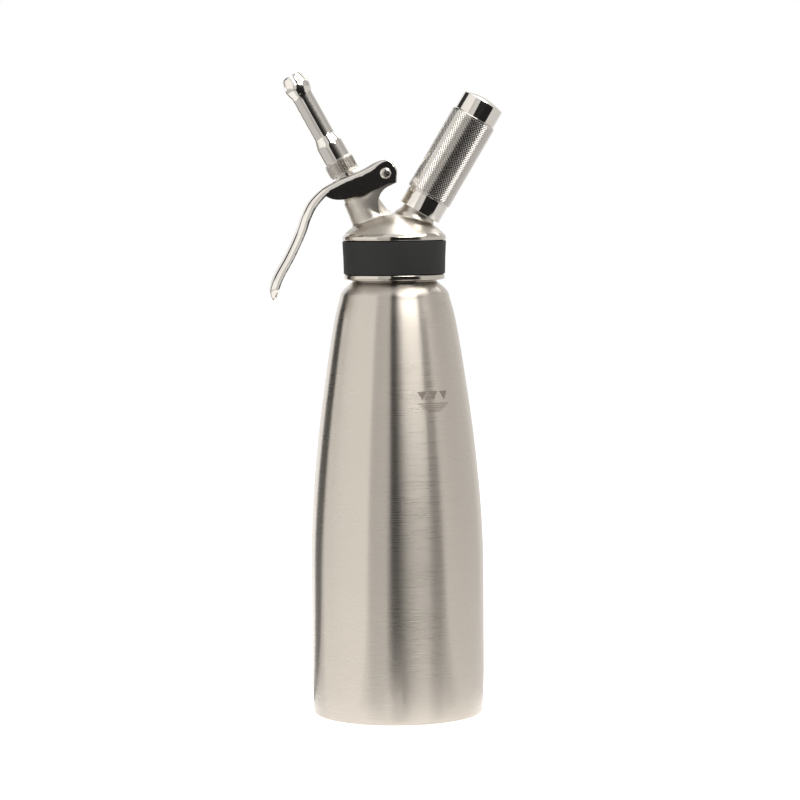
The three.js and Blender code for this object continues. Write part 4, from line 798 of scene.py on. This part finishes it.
def lever_section(share):
    """One closed section as (y, depth) points: crowned back, bent edges, lips and an even wall."""
    handle = ease(share, *HANDLE_SPAN)
    to_tip = ease(share, *TIP_SPAN)
    rounding = math.sqrt(1 - part_way(share, *BOW_SPAN) ** 2)
    width = blend(LEVER_HALF_WIDTH, LEVER_TIP_WIDTH / 2, ease(share, *NARROWING_SPAN)) * rounding
    crown = HANDLE_CROWN * handle * (1 - to_tip)
    bend = min(bend_at(share), width * 0.6)
    lip = blend(bend_at(share) + 0.6, HANDLE_DEPTH, handle)
    depth = max(blend(lip, LEVER_SHEET, to_tip), crown + bend + LEVER_SHEET / 4)
    inset = min(LEVER_SHEET, bend * 0.5)

    def half(inward):
        edge = corner(width - bend, crown + bend, bend - inward, 0, -90, 7)
        flat = [((width - bend) * part, crown * part ** 2 + inward) for part in (0.8, 0.6, 0.4, 0.2)]
        return [(width - inward, depth), *edge, *flat]

    outer, inner = half(0), half(inset)
    return ([*outer, (0, 0), *[(-y, d) for y, d in reversed(outer)],
             *[(-y, d) for y, d in inner], (0, inset), *reversed(inner)])


# The section changes all the way along, so the strip is laid ring by ring.
lever_mesh = bmesh.new()
rings = []
for station, (x, z) in enumerate(lever_back):
    inward_x, inward_z = inward_at(station)
    rings.append([lever_mesh.verts.new(((x + inward_x * depth) * MM, y * MM, (z + inward_z * depth) * MM))
                  for y, depth in lever_section(station / LEVER_STATIONS)])
for ring, next_ring in zip(rings, rings[1:]):
    for k in range(len(ring)):
        lever_mesh.faces.new((ring[k], ring[k - 1], next_ring[k - 1], next_ring[k]))
lever_mesh.faces.new(rings[0])
lever_mesh.faces.new(rings[-1])
bmesh.ops.recalc_face_normals(lever_mesh, faces=lever_mesh.faces)
lever_data = bpy.data.meshes.new("pressed_lever")
lever_mesh.to_mesh(lever_data)
lever_mesh.free()
pressed_lever = bpy.data.objects.new("pressed_lever", lever_data)
bpy.context.scene.collection.objects.link(pressed_lever)

CHEEK_SHARE, CHEEK_STEPS = 0.41, 30
cheek_top = []
for step in range(CHEEK_STEPS + 1):
    station = round(CHEEK_SHARE * LEVER_STATIONS * step / CHEEK_STEPS)
    (back_x, back_z), (inward_x, inward_z) = lever_back[station], inward_at(station)
    below = bend_at(station / LEVER_STATIONS)
    cheek_top.append((back_x + inward_x * below, back_z + inward_z * below))
cheek_low = smooth_curve([(PIVOT_X + x * LEVER_REACH, PIVOT_Z + z * LEVER_DROP) for x, z in CHEEK_SHARES], 40)
for cheek_side in (-1, 1):
    cheek = plate("cheek", cheek_top + cheek_low[::-1], LEVER_SHEET / 2)
    cheek.location = (0, cheek_side * (LEVER_HALF_WIDTH - LEVER_SHEET / 2) * MM, 0)
    settle(cheek)
    combine(pressed_lever, cheek, "UNION")

SLOT_HALF_WIDTH, SLOT_HALF_LENGTH = 4.8, 6
stem_slot = plug("stem_slot", SLOT_HALF_WIDTH, 44, 60)
stem_slot.scale = (SLOT_HALF_LENGTH / SLOT_HALF_WIDTH, 1, 1)
settle(stem_slot)
for bore in (on_nozzle(stem_slot), pivot_bore()):
    combine(pressed_lever, bore, "DIFFERENCE")
apply_modifier(pressed_lever, "BEVEL", width=0.18 * MM, segments=2, limit_method="ANGLE",
               angle_limit=math.radians(50), use_clamp_overlap=True)
settle(pressed_lever, 35)
apply_modifier(pressed_lever, "WEIGHTED_NORMAL", keep_sharp=True)
polished_steel = steel("polished_steel", (0.78, 0.745, 0.70), 0.085, grain=0.3, rough_change=0.05,
                       tint_change=0.02)
finish_piece(pressed_lever, polished_steel, "polished_steel", "lever", "lever")


# Pivot: a cross-head screw of bright steel from the near side, held by a domed cap nut on the far side.
def along_pivot(piece, way):
    """An upright piece is laid along the pivot, its top to the near side for 1 and the far side for -1."""
    piece.rotation_euler = (math.radians(90 * way), 0, 0)
    piece.location = PIVOT_PLACE
    settle(piece)


SCREW_FACE = LEVER_HALF_WIDTH + 0.3
SCREW_RADIUS, SCREW_HEAD_RADIUS, SCREW_CROWN = 1.5, 2.75, 1.7
CROSS_LENGTH, CROSS_WIDTH, CROSS_HEIGHT = 2.9, 0.5, 2
screw_head = turned_piece("pivot_cross_screw", [
    (0, -SCREW_FACE - 2), (SCREW_RADIUS, -SCREW_FACE - 2), *above(SCREW_FACE, [
        (SCREW_RADIUS, 0), (SCREW_HEAD_RADIUS, 0), *corner(SCREW_HEAD_RADIUS, 0.3, 0.2, -80, 0, 3),
        (2.93, 0.8), (2.6, 1.25), (1.9, 1.55), (1.0, 1.68), (0, SCREW_CROWN)])], sides=64)
for turn in (0, 90):
    bpy.ops.mesh.primitive_cube_add(size=1, location=(0, 0, (SCREW_FACE + SCREW_CROWN) * MM),
                                    rotation=(0, 0, math.radians(turn)),
                                    scale=(CROSS_LENGTH * MM, CROSS_WIDTH * MM, CROSS_HEIGHT * MM))
    arm = bpy.context.active_object
    edit_all()
    bpy.ops.mesh.subdivide(number_cuts=2)
    bpy.ops.object.mode_set(mode="OBJECT")
    combine(screw_head, arm, "DIFFERENCE")
along_pivot(screw_head, 1)
turned_steel = steel("turned_satin_steel", (0.64, 0.6, 0.55), 0.25, grain=0.4, rough_change=0.08,
                     tint_change=0.05)
finish_piece(screw_head, turned_steel, "polished_steel", "head", "pivot_screw")

NUT_RADIUS, NUT_BORE, NUT_DOME_RADIUS = 3.2, 1.8, 2.6
NUT_HEIGHT, NUT_FULL_HEIGHT, NUT_BORE_DEPTH = 2, 4, 2.3
NUT_SIDES = 6
cap_nut = turned_piece("pivot_cap_nut", above(SCREW_FACE, [
    (NUT_BORE, 0), (NUT_RADIUS - 0.2, 0), (NUT_RADIUS, 0.2), (NUT_RADIUS, NUT_HEIGHT - 0.2),
    (NUT_RADIUS - 0.2, NUT_HEIGHT), (NUT_DOME_RADIUS + 0.02, NUT_HEIGHT),
    *corner(0, 1.4, NUT_DOME_RADIUS, 15, 88, 8), (0, NUT_FULL_HEIGHT), (0, NUT_BORE_DEPTH),
    (NUT_BORE, NUT_BORE_DEPTH)]), sides=NUT_SIDES * 12)
half_side = math.pi / NUT_SIDES
for vertex in cap_nut.data.vertices:
    around = math.atan2(vertex.co.y, vertex.co.x)
    radius = math.hypot(vertex.co.x, vertex.co.y) / MM
    if radius > NUT_DOME_RADIUS + 0.1 and vertex.co.z / MM < SCREW_FACE + NUT_HEIGHT + 0.1:
        flat = math.cos(half_side) / math.cos((around + half_side) % (2 * half_side) - half_side)
        vertex.co.x *= flat
        vertex.co.y *= flat
along_pivot(cap_nut, -1)
finish_piece(cap_nut, polished_steel, "polished_steel", "head", "pivot_nut")


# Decorator tip: a knurled union ring that screws on the hub, and a polished tube that swells to a tulip
# with sawn slots. The ring's ridges are cut straight.
RING_LOW, RING_HIGH = 54.311, 62.111
RING_RADIUS, RING_BORE, RING_EDGE = 8.17, 6.3, 0.2
RIDGES, RIDGE_SHARE, RIDGE_DEPTH = 42, 0.7, 0.42
union_ring = turned_piece("knurled_union_ring", [
    (RING_BORE, RING_LOW), (RING_RADIUS - 0.5, RING_LOW), (RING_RADIUS - RING_EDGE, RING_LOW + 0.35),
    (RING_RADIUS - RING_EDGE, RING_LOW + 0.9), (RING_RADIUS, RING_LOW + 1.1), (RING_RADIUS, RING_HIGH - 1.1),
    (RING_RADIUS - RING_EDGE, RING_HIGH - 0.9), (RING_RADIUS - RING_EDGE, RING_HIGH - 0.35),
    (RING_RADIUS - 0.5, RING_HIGH), (RING_BORE, RING_HIGH)], sides=RIDGES * 4)
for vertex in union_ring.data.vertices:
    radius = math.hypot(vertex.co.x, vertex.co.y) / MM
    if radius > RING_RADIUS - RING_EDGE / 2:
        share = (math.atan2(vertex.co.y, vertex.co.x) / (2 * math.pi) * RIDGES + 0.01) % 1
        sunk = 1 - (RIDGE_DEPTH / RING_RADIUS if share >= RIDGE_SHARE else 0)
        vertex.co.x *= sunk
        vertex.co.y *= sunk
on_nozzle(union_ring)
finish_piece(union_ring, turned_steel, "knurled_steel", "tip", "tip_ring")

TIP_LOW, TIP_END = 60.01, RING_HIGH + 51.7
SPIGOT_RADIUS, SPIGOT_WALL = 6, 1.6
SHAFT_RADIUS, TIP_WALL = 5.75, 0.8
tip_base = RING_HIGH + 0.3
shaft_start = tip_base + 15.4
bulb_foot, bulb_middle = TIP_END - 12.6, TIP_END - 7.3
tip_outside = smooth_through([
    (7.3, tip_base + 0.3), (7.27, tip_base + 4.5), (7.19, tip_base + 9), (6.78, tip_base + 10.9),
    (6.06, tip_base + 13.5), (SHAFT_RADIUS, shaft_start), (SHAFT_RADIUS, shaft_start + 8),
    (SHAFT_RADIUS, bulb_foot - 6), (SHAFT_RADIUS, bulb_foot), (6.39, bulb_foot + 2.1), (6.89, bulb_foot + 4),
    (7.03, bulb_middle), (6.82, bulb_middle + 1.8), (6.19, bulb_middle + 3.65), (5.48, bulb_middle + 6.1),
    (4.5, TIP_END)], 4)
tip_inside = [(radius - TIP_WALL, height) for radius, height in tip_outside[::2]][::-1]
tulip_tip = turned_piece("tulip_tip", [
    (SPIGOT_RADIUS - SPIGOT_WALL, TIP_LOW + 0.2), (SPIGOT_RADIUS - 0.2, TIP_LOW),
    (SPIGOT_RADIUS, TIP_LOW + 0.2), (SPIGOT_RADIUS, tip_base), (7.1, tip_base), *tip_outside,
    (4.1, TIP_END + 0.02), *tip_inside[1:],
    (SPIGOT_RADIUS - SPIGOT_WALL, tip_base + 0.5)], sides=96)
SLOTS, SLOT_WIDTH, SLOT_DEPTH = 6, 1.8, 6
SAW_LENGTH, SAW_ROUND = 24, 0.3
for step in range(SLOTS // 2):
    bpy.ops.mesh.primitive_cube_add(size=1, location=(0, 0, TIP_END * MM),
                                    rotation=(0, 0, math.radians((step + 0.5) * 360 / SLOTS)),
                                    scale=(SAW_LENGTH * MM, SLOT_WIDTH * MM, 2 * SLOT_DEPTH * MM))
    saw = bpy.context.active_object
    edit_all()
    bpy.ops.mesh.bevel(offset=SAW_ROUND * MM, segments=3)
    bpy.ops.object.mode_set(mode="OBJECT")
    combine(tulip_tip, saw, "DIFFERENCE")
on_nozzle(tulip_tip)
finish_piece(tulip_tip, polished_steel, "polished_steel", "tip", "decorator_tip")


# Charger holder: a tube with a polished collar that screws on the stub, a sleeve with a cut diamond
# knurl pressed over it, and a polished cap with a low crown.
HOLDER_AT, SLEEVE_AT, CAP_AT = 26.8, 36.2, 85.5
COLLAR_RADIUS, SLEEVE_RADIUS, CAP_RADIUS = 11.9, 12.5, 11.6
HOLDER_BORE, TUBE_RADIUS, CAP_SEAT_RADIUS = 9.6, 11.2, 10.4
HOLDER_END = CAP_AT + 6.8
holder_collar = turned_piece("holder_collar", [
    (HOLDER_BORE, HOLDER_AT + 0.5), (HOLDER_BORE + 0.5, HOLDER_AT),
    *rounded(COLLAR_RADIUS, HOLDER_AT, 0.3, -90), (COLLAR_RADIUS, SLEEVE_AT - 0.15),
    (COLLAR_RADIUS - 0.15, SLEEVE_AT), (TUBE_RADIUS, SLEEVE_AT), (TUBE_RADIUS, CAP_AT - 0.3),
    (CAP_SEAT_RADIUS, CAP_AT - 0.3), (CAP_SEAT_RADIUS, HOLDER_END - 0.3), (CAP_SEAT_RADIUS - 0.3, HOLDER_END),
    (HOLDER_BORE, HOLDER_END)], sides=128)
on_charger(holder_collar)
finish_piece(holder_collar, polished_steel, "polished_steel", "holder", "holder_core")

KNURL_AROUND, KNURL_ROWS = 48, 29
KNURL_DEPTH, GROOVE_HALF = 0.17, 0.175
SLEEVE_BORE, SLEEVE_CHAMFER = 11.5, 0.25
VALLEY_RADIUS = SLEEVE_RADIUS - KNURL_DEPTH
EDGE_RADIUS = VALLEY_RADIUS - 0.05
knurl_low, knurl_high = SLEEVE_AT + 0.3, CAP_AT - 0.3
knurl_start, knurl_stop = knurl_low + 0.7, knurl_high - 0.7
row_height = (knurl_stop - knurl_start) / (2 * KNURL_ROWS)
knurl_levels = [knurl_start + row_height * step for step in range(2 * KNURL_ROWS + 1)]
knurled_sleeve = turned_piece("knurled_sleeve", [
    (SLEEVE_BORE, knurl_low), (VALLEY_RADIUS - SLEEVE_CHAMFER, knurl_low),
    (EDGE_RADIUS, knurl_low + SLEEVE_CHAMFER), *[(VALLEY_RADIUS, level) for level in knurl_levels],
    (EDGE_RADIUS, knurl_high - SLEEVE_CHAMFER), (VALLEY_RADIUS - SLEEVE_CHAMFER, knurl_high),
    (SLEEVE_BORE, knurl_high)], sides=2 * KNURL_AROUND)
# Where grooves cross, the corners are joined across the net's squares, and the corners in between go.
# That leaves diamonds, and each one is inset by half a groove and raised.
bpy.ops.object.mode_set(mode="EDIT")
knurl_mesh = bmesh.from_edit_mesh(knurled_sleeve.data)


def knurl_parity(vertex):
    """0 in the middle of a diamond, 1 where grooves cross, None off the knurl."""
    if math.hypot(vertex.co.x, vertex.co.y) < (VALLEY_RADIUS - 0.02) * MM:
        return None
    column = round(math.atan2(vertex.co.y, vertex.co.x) / (2 * math.pi) * 2 * KNURL_AROUND)
    row = round((vertex.co.z / MM - knurl_start) / row_height)
    return (column + row) % 2


for vertex in knurl_mesh.verts:
    vertex.select_set(knurl_parity(vertex) == 1)
bmesh.update_edit_mesh(knurled_sleeve.data)
bpy.ops.mesh.vert_connect()
knurl_mesh = bmesh.from_edit_mesh(knurled_sleeve.data)
for vertex in knurl_mesh.verts:
    row = (vertex.co.z / MM - knurl_start) / row_height
    vertex.select_set(knurl_parity(vertex) == 0 and 0.5 < row < 2 * KNURL_ROWS - 0.5)
bmesh.update_edit_mesh(knurled_sleeve.data)
bpy.ops.mesh.dissolve_verts()
knurl_mesh = bmesh.from_edit_mesh(knurled_sleeve.data)
for face in knurl_mesh.faces:
    face.select_set(len(face.verts) == 4 and all(knurl_parity(vertex) == 1 for vertex in face.verts))
bmesh.update_edit_mesh(knurled_sleeve.data)
bpy.ops.mesh.inset(thickness=GROOVE_HALF * MM, depth=KNURL_DEPTH * MM, use_individual=True)
bpy.ops.object.mode_set(mode="OBJECT")
on_charger(knurled_sleeve)
for polygon in knurled_sleeve.data.polygons:
    polygon.use_smooth = False
knurled_steel = steel("knurled_steel", (0.62, 0.59, 0.555), 0.15, grain=0.4, rough_change=0.08,
                      tint_change=0.04)
finish_piece(knurled_sleeve, knurled_steel, "knurled_steel", "holder", "holder_sleeve")

CAP_EDGE, CAP_FLOOR, CAP_CROWN = 9.2, 7.6, 1.9
CAP_BORE, CAP_BORE_DEPTH, CAP_ROUND = 10.7, 7.1, 0.6
holder_cap_piece = turned_piece("polished_holder_cap", above(CAP_AT, [
    (0, CAP_FLOOR), (HOLDER_BORE, CAP_FLOOR), (HOLDER_BORE, CAP_BORE_DEPTH), (CAP_BORE, CAP_BORE_DEPTH),
    (CAP_BORE, 0), (CAP_RADIUS - 0.15, 0), (CAP_RADIUS, 0.15),
    *corner(CAP_RADIUS - CAP_ROUND, CAP_EDGE, CAP_ROUND, 0, 60, 5),
    *dome(CAP_RADIUS - 2 * CAP_ROUND, CAP_EDGE + CAP_ROUND, CAP_CROWN)]), sides=128)
on_charger(holder_cap_piece)
finish_piece(holder_cap_piece, polished_steel, "polished_steel", "holder", "holder_cap")


# Valve spring: hard round wire wound in five turns round the stem. It stands on the floor of the neck's
# pocket, and the stem's collar presses it together as the lever is pulled.
SPRING_TURNS, SPRING_RADIUS, WIRE_RADIUS = 5, 5.4, 0.5
SPRING_LOW, SPRING_HIGH = 31.3, 41.5
bpy.ops.mesh.primitive_circle_add(vertices=16, radius=WIRE_RADIUS * MM, rotation=(math.radians(90), 0, 0),
                                  location=(SPRING_RADIUS * MM, 0, (SPRING_LOW + WIRE_RADIUS) * MM))
valve_spring = bpy.context.active_object
valve_spring.name = "coil_valve_spring"
settle(valve_spring)
apply_modifier(valve_spring, "SCREW", steps=48, render_steps=48, iterations=SPRING_TURNS,
               use_merge_vertices=False,
               screw_offset=(SPRING_HIGH - SPRING_LOW - 2 * WIRE_RADIUS) / SPRING_TURNS * MM)
edit_all()
bpy.ops.mesh.fill_holes(sides=0)
faces_outward()
on_nozzle(valve_spring)
finish_piece(valve_spring, turned_steel, "spring_steel", "head", "valve_spring")
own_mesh(valve_spring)


# Inner pieces, seen when the holder or tip is screwed up or the lever is pressed: their solids have the
# right shape, and take the finishes above.
inner_finishes = {
    "valve_stem": polished_steel, "valve_seal": black_silicone, "stem_o_ring": black_silicone,
    "stem_collar": polished_steel, "tip_adapter": polished_steel, "tip_seal": red_silicone,
    "gas_charger": satin_steel, "piercing_pin": polished_steel, "pin_bush": polished_steel,
    "charger_seal": black_silicone, "check_valve": red_silicone}
for node_name, node_finish in inner_finishes.items():
    node = frame["nodes"][node_name]
    node.data.materials.clear()
    node.data.materials.append(node_finish)
